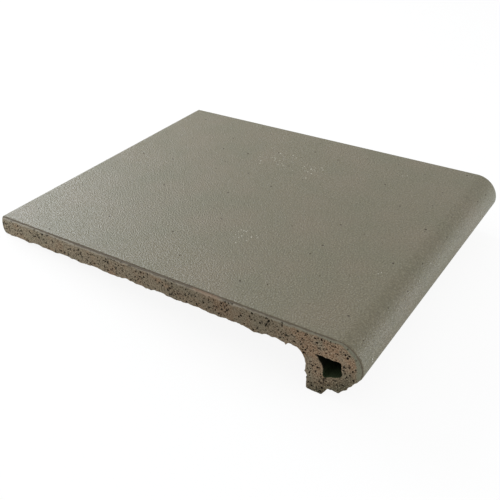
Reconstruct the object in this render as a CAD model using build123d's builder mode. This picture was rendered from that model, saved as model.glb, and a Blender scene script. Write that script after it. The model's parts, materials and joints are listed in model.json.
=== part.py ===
from build123d import *
from math import asin, atan, atan2, cos, degrees, hypot, radians, sin, tan
import os

os.makedirs("parts", exist_ok=True)

# A fired clay stair tread tile, extruded in one piece: a flat plate with a rounded, hollow
# nose and a drip leg under it. All sizes are in millimetres.
# The section is drawn in the tile's own plane: u runs from the rear edge to the front of the
# nose, v upwards, and the glazed top is at v = 0.

# Plate
width = 245.0                # along the nose, from one cut end to the other
depth = 295.0                # rear edge to the front of the nose
rear_thickness = 15.5        # the plate at its rear edge
leg_thickness = 16.6         # the plate where it runs into the leg
rear_top_radius = 3.2
rear_bottom_radius = 3.5
arris = 0.9                  # edge of the two cut ends, rubbed round before the glaze

# Nose
nose_radius = 17.5           # from the tread round to the front
brow_radius = 10.0           # from the front round to the slope under it
front_height = 21.3          # top to the corner between the front and the slope
slope_angle = 50.8           # of the slope under the nose, in degrees from level
lobe_depth = 39.4            # top to the drip lobe's flat bottom
lobe_land = 7.4              # length of that flat bottom
lobe_radius = 1.6
step_run = 3.8               # how far the step from lobe to leg slopes back
step_radius = 1.2

# Leg, which hangs in front of the riser
leg_depth = 45.6             # top to the leg's toe
toe_width = 10.2
toe_front_radius = 1.5
toe_back_radius = 1.4
leg_draft = 5.0              # lean of the leg's back face, in degrees
inner_radius = 8.0           # between the plate's underside and the leg

# Hollow that the core of the die leaves in the nose
roof_wall = 16.0             # tread to the hollow
front_wall = 13.2            # front of the nose to the hollow's lower front corner
leg_wall = 12.4              # back of the leg to the hollow's lower back corner
floor_wall = 8.8             # drip lobe's bottom to the hollow
hollow_roof_length = 16.8
hollow_front_height = 10.8
hollow_front_lean = 0.9
hollow_back_bow = 0.9        # the back wall follows the round under the plate
hollow_tip_radius = 0.5
hollow_heel_radius = 1.2
hollow_brow_radius = 1.4
hollow_toe_radius = 2.6

# Keying grooves along the underside
groove_pitch = 28.8
groove_width = 14.0
groove_depth = 1.0
first_groove = 32.5          # middle of the first one, from the rear edge

# Corners of the section, from the rear edge over the tread and back under the nose
lobe_front = depth - (lobe_depth - front_height) / tan(radians(slope_angle))
lobe_back = lobe_front - lobe_land
toe_front = lobe_back - step_run
toe_back = toe_front - toe_width
leg_root = toe_back - (leg_depth - leg_thickness) * tan(radians(leg_draft))

rear_top_corner = (0, 0)
rear_bottom_corner = (0, -rear_thickness)
toe_back_corner = (toe_back, -leg_depth)

section_corners = [
    rear_top_corner,
    (depth, 0),
    (depth, -front_height),
    (lobe_front, -lobe_depth),
    (lobe_back, -lobe_depth),
    (toe_front, -leg_depth),
    toe_back_corner,
    (leg_root, -leg_thickness),
    rear_bottom_corner,
]
section_radii = [
    rear_top_radius,
    nose_radius,
    brow_radius,
    lobe_radius,
    step_radius,
    toe_front_radius,
    toe_back_radius,
    inner_radius,
    rear_bottom_radius,
]

with BuildSketch() as section:
    with BuildLine():
        FilletPolyline(*section_corners, radius=section_radii, close=True)
    make_face()


def corner_round(corner):
    """The arc of the section that rounds the corner nearest to a point."""
    arcs = section.edges().filter_by(GeomType.CIRCLE)
    return arcs.sort_by_distance((*corner, 0))[0]


# The tile lies on two rounded edges, the rear one of the plate and the back one of the leg's
# toe. The floor touches both arcs, and that sets how far the nose is tipped up.
heel = corner_round(rear_bottom_corner)
toe = corner_round(toe_back_corner)
run = toe.arc_center.X - heel.arc_center.X
drop = heel.arc_center.Y - toe.arc_center.Y
tilt = atan2(drop, run) + asin((toe.radius - heel.radius) / hypot(run, drop))

# The origin is on the floor, under the middle of the tile.
laid = section.sketch.rotate(Axis.Z, degrees(tilt)).bounding_box()
lying = Plane(
    origin=(-(laid.min.X + laid.max.X) / 2, 0, -laid.min.Y),
    x_dir=(cos(tilt), 0, sin(tilt)),
    z_dir=(0, -1, 0),
)

# Hollow of the nose
hollow_floor = lobe_depth - floor_wall
hollow_front = depth - front_wall
hollow_brow = (hollow_front - hollow_front_lean, -roof_wall)
hollow_tip = (hollow_brow[0] - hollow_roof_length, -roof_wall)
hollow_toe = (hollow_front, -roof_wall - hollow_front_height)
leg_back_there = leg_root + (hollow_floor - leg_thickness) * tan(radians(leg_draft))
hollow_heel = (leg_back_there + leg_wall, -hollow_floor)

with BuildSketch() as hollow:
    with BuildLine():
        Polyline(hollow_heel, hollow_toe, hollow_brow, hollow_tip)
        SagittaArc(hollow_tip, hollow_heel, hollow_back_bow)
    make_face()
    for corner, radius in (
        (hollow_heel, hollow_heel_radius),
        (hollow_toe, hollow_toe_radius),
        (hollow_brow, hollow_brow_radius),
        (hollow_tip, hollow_tip_radius),
    ):
        fillet(hollow.vertices().sort_by_distance((*corner, 0))[0], radius)

# The grooves are shallow scoops in the underside, which slopes as the plate thickens.
groove_room = leg_root - inner_radius - groove_width / 2 - first_groove
groove_count = int(groove_room / groove_pitch) + 1
thickening = (leg_thickness - rear_thickness) / leg_root
groove_middles = [first_groove + groove_pitch * i for i in range(groove_count)]
groove_places = [
    Location((u, -rear_thickness - thickening * u), -degrees(atan(thickening)))
    for u in groove_middles
]

with BuildSketch() as groove:
    with BuildLine():
        scoop = ThreePointArc((-groove_width / 2, 0), (0, groove_depth), (groove_width / 2, 0))
        Polyline(scoop @ 1, scoop @ 1 - (0, groove_depth), scoop @ 0 - (0, groove_depth), scoop @ 0)
    make_face()

# The tile
with BuildPart() as tread_tile:
    with BuildSketch(lying):
        add(section.sketch)
    extrude(amount=width / 2, both=True)
    cut_ends = tread_tile.faces().filter_by(Axis.Y)
    fillet(cut_ends.edges(), arris)
    with BuildSketch(lying):
        add(hollow.sketch)
    extrude(amount=width, both=True, mode=Mode.SUBTRACT)
    with BuildSketch(lying):
        with Locations(*groove_places):
            add(groove.sketch)
    extrude(amount=width, both=True, mode=Mode.SUBTRACT)

tread_tile.part.label = "tread_tile"
export_step(tread_tile.part, "parts/tread_tile.step")

size = tread_tile.part.bounding_box().size
print(f"tilt {degrees(tilt):.3f} degrees, grooves {groove_count}")
print(f"section plane origin {lying.origin.X:.3f}, {lying.origin.Z:.3f}")
print(f"size {size.X:.1f} x {size.Y:.1f} x {size.Z:.1f}")
print(f"volume {tread_tile.part.volume / 1000:.0f} cm3")
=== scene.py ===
# %% [markdown]
# A glazed clay stair tread tile
#
# A stair tread tile is one long bar of stiff clay, pushed through a steel die, cut to length with a
# wire, sprayed with a satin glaze on the side that feet meet, and fired until it is as hard as stone.
# So it has three kinds of surface: glaze on the tread and the nose, clay skin that slid along the die
# underneath, and torn, porous clay on the two ends that the wire cut.
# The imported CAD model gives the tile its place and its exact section. This lesson dresses it: the same
# section is pulled into a finer mesh, the cut ends get their pores, and two clays and a glaze are mixed.

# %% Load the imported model
import json
import math

import bmesh
import bpy
import numpy as np
from mathutils import Matrix, Vector
from mathutils.geometry import delaunay_2d_cdt


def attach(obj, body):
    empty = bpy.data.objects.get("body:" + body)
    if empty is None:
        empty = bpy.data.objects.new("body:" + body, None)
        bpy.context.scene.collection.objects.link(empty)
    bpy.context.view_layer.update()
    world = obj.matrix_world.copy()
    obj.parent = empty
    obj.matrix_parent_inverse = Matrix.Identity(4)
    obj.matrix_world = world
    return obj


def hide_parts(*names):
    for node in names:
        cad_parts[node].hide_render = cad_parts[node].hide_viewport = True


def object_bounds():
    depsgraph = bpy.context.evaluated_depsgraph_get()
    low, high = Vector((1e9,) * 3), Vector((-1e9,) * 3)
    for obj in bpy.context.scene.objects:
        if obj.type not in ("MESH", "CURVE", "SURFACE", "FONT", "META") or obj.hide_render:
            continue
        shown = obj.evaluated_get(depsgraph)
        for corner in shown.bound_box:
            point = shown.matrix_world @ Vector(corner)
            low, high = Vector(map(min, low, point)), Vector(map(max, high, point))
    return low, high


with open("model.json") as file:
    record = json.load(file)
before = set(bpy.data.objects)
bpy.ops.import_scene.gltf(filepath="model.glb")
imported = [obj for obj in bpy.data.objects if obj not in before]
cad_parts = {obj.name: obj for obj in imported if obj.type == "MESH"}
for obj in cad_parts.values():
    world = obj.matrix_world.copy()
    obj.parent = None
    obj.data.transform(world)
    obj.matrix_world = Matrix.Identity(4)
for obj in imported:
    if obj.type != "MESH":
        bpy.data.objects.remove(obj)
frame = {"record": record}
cad_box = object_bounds()
MM = 0.001
print("CAD box, mm:", [[round(c / MM, 1) for c in corner] for corner in cad_box])

# %% [markdown]
# The tile's own directions
#
# The tile lies on its rear edge and on the toe of its leg, so its tread slopes. It is far easier to
# draw a section along the tread than along the floor. The record that came with the model names flat
# faces of the tile, each with a point and a direction, and two of them are enough: the tread face
# points up out of the glaze, and the rear joint face points backwards. Every point of the tile is then
# given as u, in millimetres from the rear edge, y along the nose, and v up from the tread.

# %% Directions from the record
faces = {mount["name"]: mount for mount in frame["record"]["mounts"]}
UP = Vector(faces["tread_face"]["axis"]).normalized()
FORWARD = -Vector(faces["rear_joint_face"]["axis"]).normalized()
ALONG = Vector((0, 1, 0))
on_tread = Vector(faces["tread_face"]["pos_m"])
on_rear = Vector(faces["rear_joint_face"]["pos_m"])
CORNER = on_tread + FORWARD * (on_rear - on_tread).dot(FORWARD)
TILT = math.atan2(FORWARD.z, FORWARD.x)


def place(u, y, v):
    """The point of the room, in metres, for a point of the tile in millimetres."""
    return CORNER + (FORWARD * u + ALONG * y + UP * v) * MM


rear_corner = [round(c, 4) for c in CORNER]
print(f"tread tilted by {math.degrees(TILT):.2f} degrees, rear corner at {rear_corner}")

# %% [markdown]
# The camera
#
# The camera comes first, because everything else is judged through it. Its place and its three turns
# were worked out from the straight edges of the tile in the photograph. They are given along the
# tile's own directions, so the view is right however the tile lies. Blender's camera looks down its
# own -Z axis with +Y up, so the three directions become the columns of a matrix.

# %% A camera at the photograph's angle
CAMERA_U, CAMERA_Y, CAMERA_V = 415.88, -420.38, 265.24
YAW, PITCH, ROLL = math.radians(-33.376), math.radians(32.143), math.radians(-1.115)
LENS, SENSOR = 53.11, 36.0      # focal length and width of the sensor, in millimetres

look = Vector((math.sin(YAW) * math.cos(PITCH), math.cos(YAW) * math.cos(PITCH), -math.sin(PITCH)))
level = Vector((math.cos(YAW), -math.sin(YAW), 0))
lift = level.cross(look)
right = level * math.cos(ROLL) + lift * math.sin(ROLL)
top = lift * math.cos(ROLL) - level * math.sin(ROLL)


def turned(direction):
    """A direction along the tile's own axes, as a direction in the room."""
    return FORWARD * direction.x + ALONG * direction.y + UP * direction.z


camera_data = bpy.data.cameras.new("camera")
camera_data.lens = LENS
camera_data.sensor_width = SENSOR
camera_data.clip_start = 10 * MM
camera = bpy.data.objects.new("camera", camera_data)
turn = Matrix((turned(right), turned(top), -turned(look))).transposed()
camera.matrix_world = Matrix.Translation(place(CAMERA_U, CAMERA_Y, CAMERA_V)) @ turn.to_4x4()
bpy.context.scene.collection.objects.link(camera)
bpy.context.scene.camera = camera
print("camera at", tuple(round(c, 3) for c in camera.location))

# %% [markdown]
# The section
#
# A die is a steel plate with the tile's section cut out of it. Nine corners describe it, each with a
# radius, because clay won't fill a sharp corner and would tear there. A function walks round those
# corners and lays points on the straight runs and the arcs. Each point also gets the direction that
# points out of the clay, which later tells the roughness which way to push.

# %% Sizes of the section, in millimetres
WIDTH = 245.0
DEPTH = 295.0
REAR_THICKNESS = 15.5
LEG_THICKNESS = 16.6
FRONT_HEIGHT = 21.3
SLOPE_ANGLE = math.radians(50.8)
LOBE_DEPTH = 39.4
LOBE_LAND = 7.4
STEP_RUN = 3.8
LEG_DEPTH = 45.6
TOE_WIDTH = 10.2
LEG_DRAFT = math.tan(math.radians(5.0))
NOSE_RADIUS = 17.5

lobe_front = DEPTH - (LOBE_DEPTH - FRONT_HEIGHT) / math.tan(SLOPE_ANGLE)
lobe_back = lobe_front - LOBE_LAND
toe_front = lobe_back - STEP_RUN
toe_back = toe_front - TOE_WIDTH
leg_root = toe_back - (LEG_DEPTH - LEG_THICKNESS) * LEG_DRAFT
THICKENING = (LEG_THICKNESS - REAR_THICKNESS) / leg_root

# How far apart the points stand: on the plain tread, on the glazed nose, on torn clay, in the hollow
PLAIN, NOSE, TORN, IN_HOLLOW = 2.0, 0.8, 0.75, 0.7
ARC_SPACING = 0.75

# u, v, radius of the corner, and the spacing on the run after it
SECTION = [
    (0, 0, 3.2, PLAIN),
    (DEPTH, 0, NOSE_RADIUS, NOSE),
    (DEPTH, -FRONT_HEIGHT, 10.0, NOSE),
    (lobe_front, -LOBE_DEPTH, 1.6, TORN),
    (lobe_back, -LOBE_DEPTH, 1.2, TORN),
    (toe_front, -LEG_DEPTH, 1.5, TORN),
    (toe_back, -LEG_DEPTH, 1.4, TORN),
    (leg_root, -LEG_THICKNESS, 8.0, TORN),
    (0, -REAR_THICKNESS, 3.5, TORN),
]
print(f"the leg starts {leg_root:.1f} mm and the drip lobe ends {lobe_front:.1f} mm from the rear edge")

# %% Sizes of the hollow in the nose
FLOOR_WALL, LEG_WALL, FRONT_WALL, ROOF_WALL = 8.8, 12.4, 13.2, 16.0
ROOF_LENGTH, FRONT_DROP, FRONT_LEAN, BACK_BOW = 16.8, 10.8, 0.9, 0.9

hollow_floor = LOBE_DEPTH - FLOOR_WALL
heel_u = leg_root + (hollow_floor - LEG_THICKNESS) * LEG_DRAFT + LEG_WALL
brow_u = DEPTH - FRONT_WALL - FRONT_LEAN
tip_u = brow_u - ROOF_LENGTH
bow = Vector((heel_u - tip_u, ROOF_WALL - hollow_floor)).normalized()
bow_u = (heel_u + tip_u) / 2 - bow.y * BACK_BOW
bow_v = -(hollow_floor + ROOF_WALL) / 2 + bow.x * BACK_BOW
HOLLOW = [
    (tip_u, -ROOF_WALL, 0.25, IN_HOLLOW),
    (brow_u, -ROOF_WALL, 1.4, IN_HOLLOW),
    (DEPTH - FRONT_WALL, -ROOF_WALL - FRONT_DROP, 2.6, IN_HOLLOW),
    (heel_u, -hollow_floor, 1.2, IN_HOLLOW),
    (bow_u, bow_v, 30.0, IN_HOLLOW),
]
print(f"hollow: {heel_u - tip_u:.1f} mm from tip to heel, {hollow_floor - ROOF_WALL:.1f} mm high")


# %% Walk round the corners
def walk_round(corners):
    """Points round a closed line with rounded corners, and the direction to the left of the walk."""
    spots = [np.array(c[:2], float) for c in corners]
    arcs = []
    for i, here in enumerate(spots):
        back = spots[i - 1] - here
        on = spots[(i + 1) % len(spots)] - here
        back, on = back / np.hypot(*back), on / np.hypot(*on)
        half = math.acos(max(-1.0, min(1.0, back @ on))) / 2
        reach = corners[i][2] / math.tan(half)
        sweep = math.copysign(math.pi - 2 * half, back[1] * on[0] - back[0] * on[1])
        arcs.append((here + back * reach, here + on * reach, -back, sweep, corners[i][2]))
    points, sides = [], []
    for i, (start, end, heading, sweep, radius) in enumerate(arcs):
        steps = max(2, round(abs(sweep) * radius / ARC_SPACING))
        side = np.array([-heading[1], heading[0]])
        centre = start + side * math.copysign(radius, sweep)
        for angle in np.linspace(0, sweep, steps + 1):
            c, s = math.cos(angle), math.sin(angle)
            points.append(centre + np.array([[c, -s], [s, c]]) @ (start - centre))
            sides.append(np.array([[c, -s], [s, c]]) @ side)
        run = arcs[(i + 1) % len(arcs)][0] - end
        parts = max(1, round(np.hypot(*run) / corners[i][3]))
        for k in range(1, parts):
            points.append(end + run * k / parts)
            sides.append(sides[-1])
    return np.array(points), np.array(sides)


outline, outward = walk_round(SECTION)
hollow_line, hollow_side = walk_round(HOLLOW)
print(f"section: {len(outline)} points, hollow: {len(hollow_line)} points")

# %% [markdown]
# Keying grooves and where the glaze ends
#
# The underside has shallow scoops along the nose's direction, which give mortar something to hold.
# They are a rise added to the points of the underside, so no cutting is needed. Two more numbers go
# with each point: how much of it is bare clay, and how far its edge at the cut end is rubbed round.
# A damp sponge rounds the glazed arris before spraying, while the clay edges below are left as torn.

# %% Grooves, clay and arris along the section
GROOVE_PITCH, GROOVE_WIDTH, GROOVE_DEPTH, FIRST_GROOVE, GROOVES = 28.8, 14.0, 1.0, 32.5, 8
GLAZED_ARRIS, CLAY_EDGE = 0.9, 0.35
GLAZE_FRONT_U = DEPTH - 12.0     # the spray reached the nose from here forwards
GLAZE_END_V = -24.5              # and no lower than this under it
GLAZE_TOP_V = -2.0               # nor further down the rear edge
SOFTEN_CLAY, SOFTEN_ARRIS = 3, 4

scoop_radius = ((GROOVE_WIDTH / 2) ** 2 + GROOVE_DEPTH**2) / (2 * GROOVE_DEPTH)
under = outward @ np.array([THICKENING, 1.0]) < -0.999
for k in range(GROOVES):
    across = np.abs(outline[:, 0] - (FIRST_GROOVE + GROOVE_PITCH * k))
    inside = under & (across < GROOVE_WIDTH / 2)
    chord = np.sqrt(scoop_radius**2 - np.minimum(across, GROOVE_WIDTH / 2) ** 2)
    outline[inside, 1] += (chord - scoop_radius + GROOVE_DEPTH)[inside]

on_front = (outline[:, 0] > GLAZE_FRONT_U) & (outline[:, 1] > GLAZE_END_V)
glazed = on_front | (outline[:, 1] > GLAZE_TOP_V)
clay = np.where(glazed, 0.0, 1.0)
for _ in range(SOFTEN_CLAY):
    clay = np.where(glazed, 0.0, (np.roll(clay, 1) + clay + np.roll(clay, -1)) / 3)
arris = np.where(clay < 0.01, GLAZED_ARRIS, CLAY_EDGE)
for _ in range(SOFTEN_ARRIS):
    arris = (np.roll(arris, 1) + 2 * arris + np.roll(arris, -1)) / 4
print(f"{int(glazed.sum())} points glazed, {int(under.sum())} on the underside")

# %% [markdown]
# One function that adds a node
#
# Both Geometry Nodes and materials are trees of nodes, and building them by hand repeats the same
# four lines. One function adds a node, gives it its settings, and fills or links its inputs. An input
# is named by its label or its number, and a node given as a value stands for its first live output.

# %% Add a node, and turn a hex colour linear
def add_node(tree, kind, inputs=None, **settings):
    """Add a node with its settings, and fill or link its inputs."""
    node = tree.nodes.new(kind)
    for name, value in settings.items():
        setattr(node, name, value)
    for key, value in (inputs or {}).items():
        if isinstance(key, int):
            socket = node.inputs[key]
        else:
            socket = next(s for s in node.inputs if s.enabled and s.name == key)
        if isinstance(value, bpy.types.Node):
            value = next(s for s in value.outputs if s.enabled)
        if isinstance(value, bpy.types.NodeSocket):
            tree.links.new(value, socket)
        else:
            socket.default_value = value
    return node


def linear(hex_colour):
    """An sRGB colour such as #7d7768, as the linear numbers that shaders reckon with."""
    parts = [int(hex_colour[i : i + 2], 16) / 255 for i in (1, 3, 5)]
    return (*[p / 12.92 if p <= 0.04045 else ((p + 0.055) / 1.055) ** 2.4 for p in parts], 1.0)


print("mid grey #808080 is", round(linear("#808080")[0], 3), "when linear")

# %% [markdown]
# Pulling the section through the die
#
# The tile could be a bevelled extrusion or a curve with a profile. A grid wrapped round the section
# suits it better: one side of the grid counts the points of the section and the other side counts
# stations along the nose. Geometry Nodes then moves each grid point to its place. Stations crowd
# together at the two ends, where the arris is rounded and the clay is torn, and stand far apart in
# the plain middle.

# %% The inputs of a tree that sweeps a section
sweep = bpy.data.node_groups.new("pull through the die", "GeometryNodeTree")
for name, kind in (("Section", "Geometry"), ("Length", "Float"), ("Stations", "Int"),
                   ("Bunching", "Float"), ("Turn inside out", "Bool"), ("Finish", "Material")):
    sweep.interface.new_socket(name, in_out="INPUT", socket_type="NodeSocket" + kind)
sweep.interface.new_socket("Skin", in_out="OUTPUT", socket_type="NodeSocketGeometry")
given = add_node(sweep, "NodeGroupInput").outputs
print("sweep inputs:", [item.name for item in sweep.interface.items_tree if item.in_out == "INPUT"])

# %% A grid with one column for each point of the section
points_round = add_node(sweep, "GeometryNodeAttributeDomainSize", {"Geometry": given["Section"]})
columns = add_node(sweep, "ShaderNodeMath", {0: points_round.outputs["Point Count"], 1: 1.0}, operation="ADD")
grid = add_node(sweep, "GeometryNodeMeshGrid", {
    "Size X": 1.0, "Size Y": 1.0, "Vertices X": columns, "Vertices Y": given["Stations"]})
number = add_node(sweep, "GeometryNodeInputIndex")
share = add_node(sweep, "ShaderNodeMath", {0: number, 1: given["Stations"]}, operation="DIVIDE")
column = add_node(sweep, "ShaderNodeMath", {0: share}, operation="FLOOR")
column_start = add_node(sweep, "ShaderNodeMath", {0: column, 1: given["Stations"]}, operation="MULTIPLY")
station = add_node(sweep, "ShaderNodeMath", {0: number, 1: column_start}, operation="SUBTRACT")
wrapped = add_node(sweep, "ShaderNodeMath", {
    0: column, 1: points_round.outputs["Point Count"]}, operation="MODULO")

# %% Stations that crowd together at the two ends
last_station = add_node(sweep, "ShaderNodeMath", {0: given["Stations"], 1: 1.0}, operation="SUBTRACT")
span = add_node(sweep, "ShaderNodeMapRange", {
    "Value": station, "From Min": 0.0, "From Max": last_station, "To Min": -1.0, "To Max": 1.0})
from_middle = add_node(sweep, "ShaderNodeMath", {0: span}, operation="ABSOLUTE")
to_end = add_node(sweep, "ShaderNodeMath", {0: 1.0, 1: from_middle}, operation="SUBTRACT")
crowded = add_node(sweep, "ShaderNodeMath", {0: to_end, 1: given["Bunching"]}, operation="POWER")
half_length = add_node(sweep, "ShaderNodeMath", {0: given["Length"], 1: 0.5}, operation="MULTIPLY")
end_gap = add_node(sweep, "ShaderNodeMath", {0: crowded, 1: half_length}, operation="MULTIPLY")
reach = add_node(sweep, "ShaderNodeMath", {0: half_length, 1: end_gap}, operation="SUBTRACT")
which_end = add_node(sweep, "ShaderNodeMath", {0: span}, operation="SIGN")
along = add_node(sweep, "ShaderNodeMath", {0: reach, 1: which_end}, operation="MULTIPLY")

# %% Look up what each point of the section carries
carried = {}
for name, kind in (("outward", "FLOAT_VECTOR"), ("clay", "FLOAT"), ("arris", "FLOAT")):
    attribute = add_node(sweep, "GeometryNodeInputNamedAttribute", {"Name": name}, data_type=kind)
    carried[name] = add_node(sweep, "GeometryNodeSampleIndex", {
        "Geometry": given["Section"], "Value": attribute, "Index": wrapped}, data_type=kind)
spot = add_node(sweep, "GeometryNodeSampleIndex", {
    "Geometry": given["Section"], "Value": add_node(sweep, "GeometryNodeInputPosition"), "Index": wrapped},
    data_type="FLOAT_VECTOR")

# %% Round the arris at each end
# A quarter round draws the skin in by radius - sqrt(radius^2 - (radius - gap)^2)
short_by = add_node(sweep, "ShaderNodeMath", {0: carried["arris"], 1: end_gap}, operation="SUBTRACT")
short_by = add_node(sweep, "ShaderNodeMath", {0: short_by, 1: 0.0}, operation="MAXIMUM")
short_squared = add_node(sweep, "ShaderNodeMath", {0: short_by, 1: short_by}, operation="MULTIPLY")
radius_squared = add_node(sweep, "ShaderNodeMath", {
    0: carried["arris"], 1: carried["arris"]}, operation="MULTIPLY")
rest_squared = add_node(sweep, "ShaderNodeMath", {0: radius_squared, 1: short_squared}, operation="SUBTRACT")
rest_squared = add_node(sweep, "ShaderNodeMath", {0: rest_squared, 1: 0.0}, operation="MAXIMUM")
round_part = add_node(sweep, "ShaderNodeMath", {0: rest_squared}, operation="SQRT")
draw_in = add_node(sweep, "ShaderNodeMath", {0: round_part, 1: carried["arris"]}, operation="SUBTRACT")
inwards = add_node(sweep, "ShaderNodeVectorMath", {
    0: carried["outward"], "Scale": draw_in}, operation="SCALE")
sideways = add_node(sweep, "ShaderNodeCombineXYZ", {"Y": along})
on_line = add_node(sweep, "ShaderNodeVectorMath", {0: spot, 1: sideways}, operation="ADD")
resting = add_node(sweep, "ShaderNodeVectorMath", {0: on_line, 1: inwards}, operation="ADD")

# %% Wrap the grid and close it
SAME_SPOT = 0.002 * MM
wrap = add_node(sweep, "GeometryNodeSetPosition", {"Geometry": grid, "Position": resting})
for name, kind in (("outward", "FLOAT_VECTOR"), ("clay", "FLOAT")):
    wrap = add_node(sweep, "GeometryNodeStoreNamedAttribute", {
        "Geometry": wrap, "Name": name, "Value": carried[name]}, data_type=kind, domain="POINT")
turned_out = add_node(sweep, "GeometryNodeFlipFaces", {"Mesh": wrap, "Selection": given["Turn inside out"]})
closed = add_node(sweep, "GeometryNodeMergeByDistance", {"Geometry": turned_out, "Distance": SAME_SPOT})
real = add_node(sweep, "GeometryNodeRealizeInstances", {"Geometry": closed})
finished = add_node(sweep, "GeometryNodeSetMaterial", {"Geometry": real, "Material": given["Finish"]})
add_node(sweep, "NodeGroupOutput", {"Skin": finished})
print(f"sweep tree: {len(sweep.nodes)} nodes")

# %% [markdown]
# Running a tree
#
# A Geometry Nodes modifier keeps its tree's inputs under the sockets' identifiers, not under their
# names, so a small function looks each one up. It then reads the evaluated mesh into a plain one, so
# that nothing live is left on the finished tile.

# %% Evaluate a tree into a plain mesh
def run_tree(mesh, tree, values, name):
    """The mesh that a node tree makes out of another mesh, with nothing live left on it."""
    carrier = bpy.data.objects.new(name, mesh)
    bpy.context.scene.collection.objects.link(carrier)
    modifier = carrier.modifiers.new(tree.name, "NODES")
    modifier.node_group = tree
    for item in tree.interface.items_tree:
        if item.in_out == "INPUT" and item.name in values:
            modifier[item.identifier] = values[item.name]
    carrier.update_tag()
    seen = carrier.evaluated_get(bpy.context.evaluated_depsgraph_get())
    plain = bpy.data.meshes.new_from_object(seen)
    carrier.modifiers.clear()
    bpy.data.objects.remove(carrier)
    plain.name = name
    return plain


# %% Give a section to the tree
def section_loop(name, line, side, bare, rounding):
    """A closed line of vertices in the section's plane, with the numbers that the sweep reads."""
    mesh = bpy.data.meshes.new(name)
    count = len(line)
    steps = [(i, (i + 1) % count) for i in range(count)]
    mesh.from_pydata([place(u, 0, v) for u, v in line], steps, [])
    directions = [FORWARD * s[0] + UP * s[1] for s in side]
    mesh.attributes.new("outward", "FLOAT_VECTOR", "POINT").data.foreach_set(
        "vector", np.array(directions, np.float32).ravel())
    mesh.attributes.new("clay", "FLOAT", "POINT").data.foreach_set("value", np.array(bare, np.float32))
    mesh.attributes.new("arris", "FLOAT", "POINT").data.foreach_set(
        "value", np.array(rounding, np.float32) * MM)
    return mesh


# %% Pull both skins
# The materials get their looks later, and are only named here
glaze = bpy.data.materials.new("satin glaze")
cut_clay = bpy.data.materials.new("wire cut clay")
die_clay = bpy.data.materials.new("die skin clay")
grit = bpy.data.materials.new("crushed grog")

STATIONS, BUNCHING = 61, 2.2
HOLLOW_EDGE = 0.15        # the rim of the hollow is nearly sharp
hollow_edge = np.full(len(hollow_line), HOLLOW_EDGE)
pull = {"Length": WIDTH * MM, "Stations": STATIONS, "Bunching": BUNCHING, "Finish": die_clay}
loop = section_loop("section", outline, outward, clay, arris)
skin = run_tree(loop, sweep, {**pull, "Turn inside out": False}, "outer skin")
loop = section_loop("hollow", hollow_line, -hollow_side, np.ones(len(hollow_line)), hollow_edge)
tube = run_tree(loop, sweep, {**pull, "Turn inside out": True}, "hollow skin")
print(f"outer skin: {len(skin.vertices)} vertices, hollow skin: {len(tube.vertices)} vertices")

# %% [markdown]
# The cut ends
#
# A wire pulled through stiff clay drags grit along and leaves open pores, and the fired face shows
# them as dark pits of about a millimetre. They could be painted with bump alone, but at a glancing
# angle that looks flat, so the bigger pores are real. The end is filled with scattered points, a ring
# of points is laid round each pore with a deeper ring and a bottom inside it, and a Delaunay
# triangulation joins them all into one sheet that keeps the tile's outline as its border.

# %% Pores in numbers, and those listed one by one
# How many pores, their smallest and largest radius in millimetres, and the share that may cluster
PORE_KINDS = ((190, 0.46, 0.8, 0.8), (850, 0.26, 0.44, 0.4))
CLUSTERS, CLUSTER_SPREAD = 26, 4.2

# Pores, cracks and a flake that stand out on the near end: u, v, radius, stretch and lean in degrees
NEAR_SCARS = [
    (282.7, -17.9, 0.6, 2.0, 80), (277.2, -30.7, 0.55, 2.3, -12), (258.4, -36.6, 0.6, 1.5, 75),
    (286.2, -16.9, 0.62, 1.5, 60), (289.9, -16.8, 0.5, 1.1, 0), (274.5, -5.8, 0.6, 1.2, 20),
    (279.9, -7.9, 0.62, 1.2, 45), (281.9, -7.1, 0.5, 1.1, 0), (275.2, -8.3, 0.5, 1.2, 90),
    (262.4, -26.2, 0.62, 1.3, 50), (261.0, -28.6, 0.5, 1.1, 0), (264.6, -28.9, 0.62, 1.3, 10),
    (282.2, -31.8, 0.7, 1.4, 0), (272.8, -36.4, 0.6, 1.3, 60), (271.8, -33.8, 0.5, 1.1, 0),
    (260.3, -40.0, 0.6, 1.6, -30), (262.6, -41.5, 0.6, 1.7, -15), (264.5, -38.1, 0.5, 1.1, 0),
    (283.7, -22.5, 0.5, 1.5, 70), (286.6, -22.6, 0.55, 1.3, 60), (261.6, -8.1, 0.5, 1.2, 0),
    (254.9, -8.5, 0.55, 1.1, 0), (250.6, -6.3, 0.5, 1.3, 60), (248.1, -8.8, 0.5, 1.1, 0),
    (245.0, -13.3, 0.55, 1.2, 0), (258.5, -12.7, 0.5, 1.3, 20), (259.1, -21.0, 0.45, 1.1, 0),
    (16.3, -4.6, 0.85, 1.4, 60), (41.5, -4.2, 0.8, 1.5, 10), (44.6, -10.0, 0.7, 1.3, 50),
    (77.0, -5.4, 0.8, 1.2, 40), (66.0, -12.6, 0.8, 1.3, 60), (111.0, -5.8, 0.7, 1.1, 0),
]
print(f"{len(NEAR_SCARS)} scars by hand, up to {sum(kind[0] for kind in PORE_KINDS)} scattered pores an end")


# %% Tell where a point lies
def is_inside(points, line):
    """Which points are inside a closed line, by counting how often a ray to the right crosses it."""
    a, b = line, np.roll(line, -1, axis=0)
    odd = np.zeros(len(points), bool)
    for (ax, ay), (bx, by) in zip(a, b):
        if ay == by:
            continue
        between = (ay > points[:, 1]) != (by > points[:, 1])
        crossing = (bx - ax) * (points[:, 1] - ay) / (by - ay) + ax
        odd ^= between & (points[:, 0] < crossing)
    return odd


def clearance(points, line):
    """Each point's distance to the nearest point of a line."""
    result = np.full(len(points), np.inf)
    batch = 2000          # at a time, to spare memory
    for start in range(0, len(points), batch):
        part = points[start : start + batch]
        gaps = np.linalg.norm(part[:, None, :] - line[None, :, :], axis=2)
        result[start : start + batch] = gaps.min(axis=1)
    return result


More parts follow.
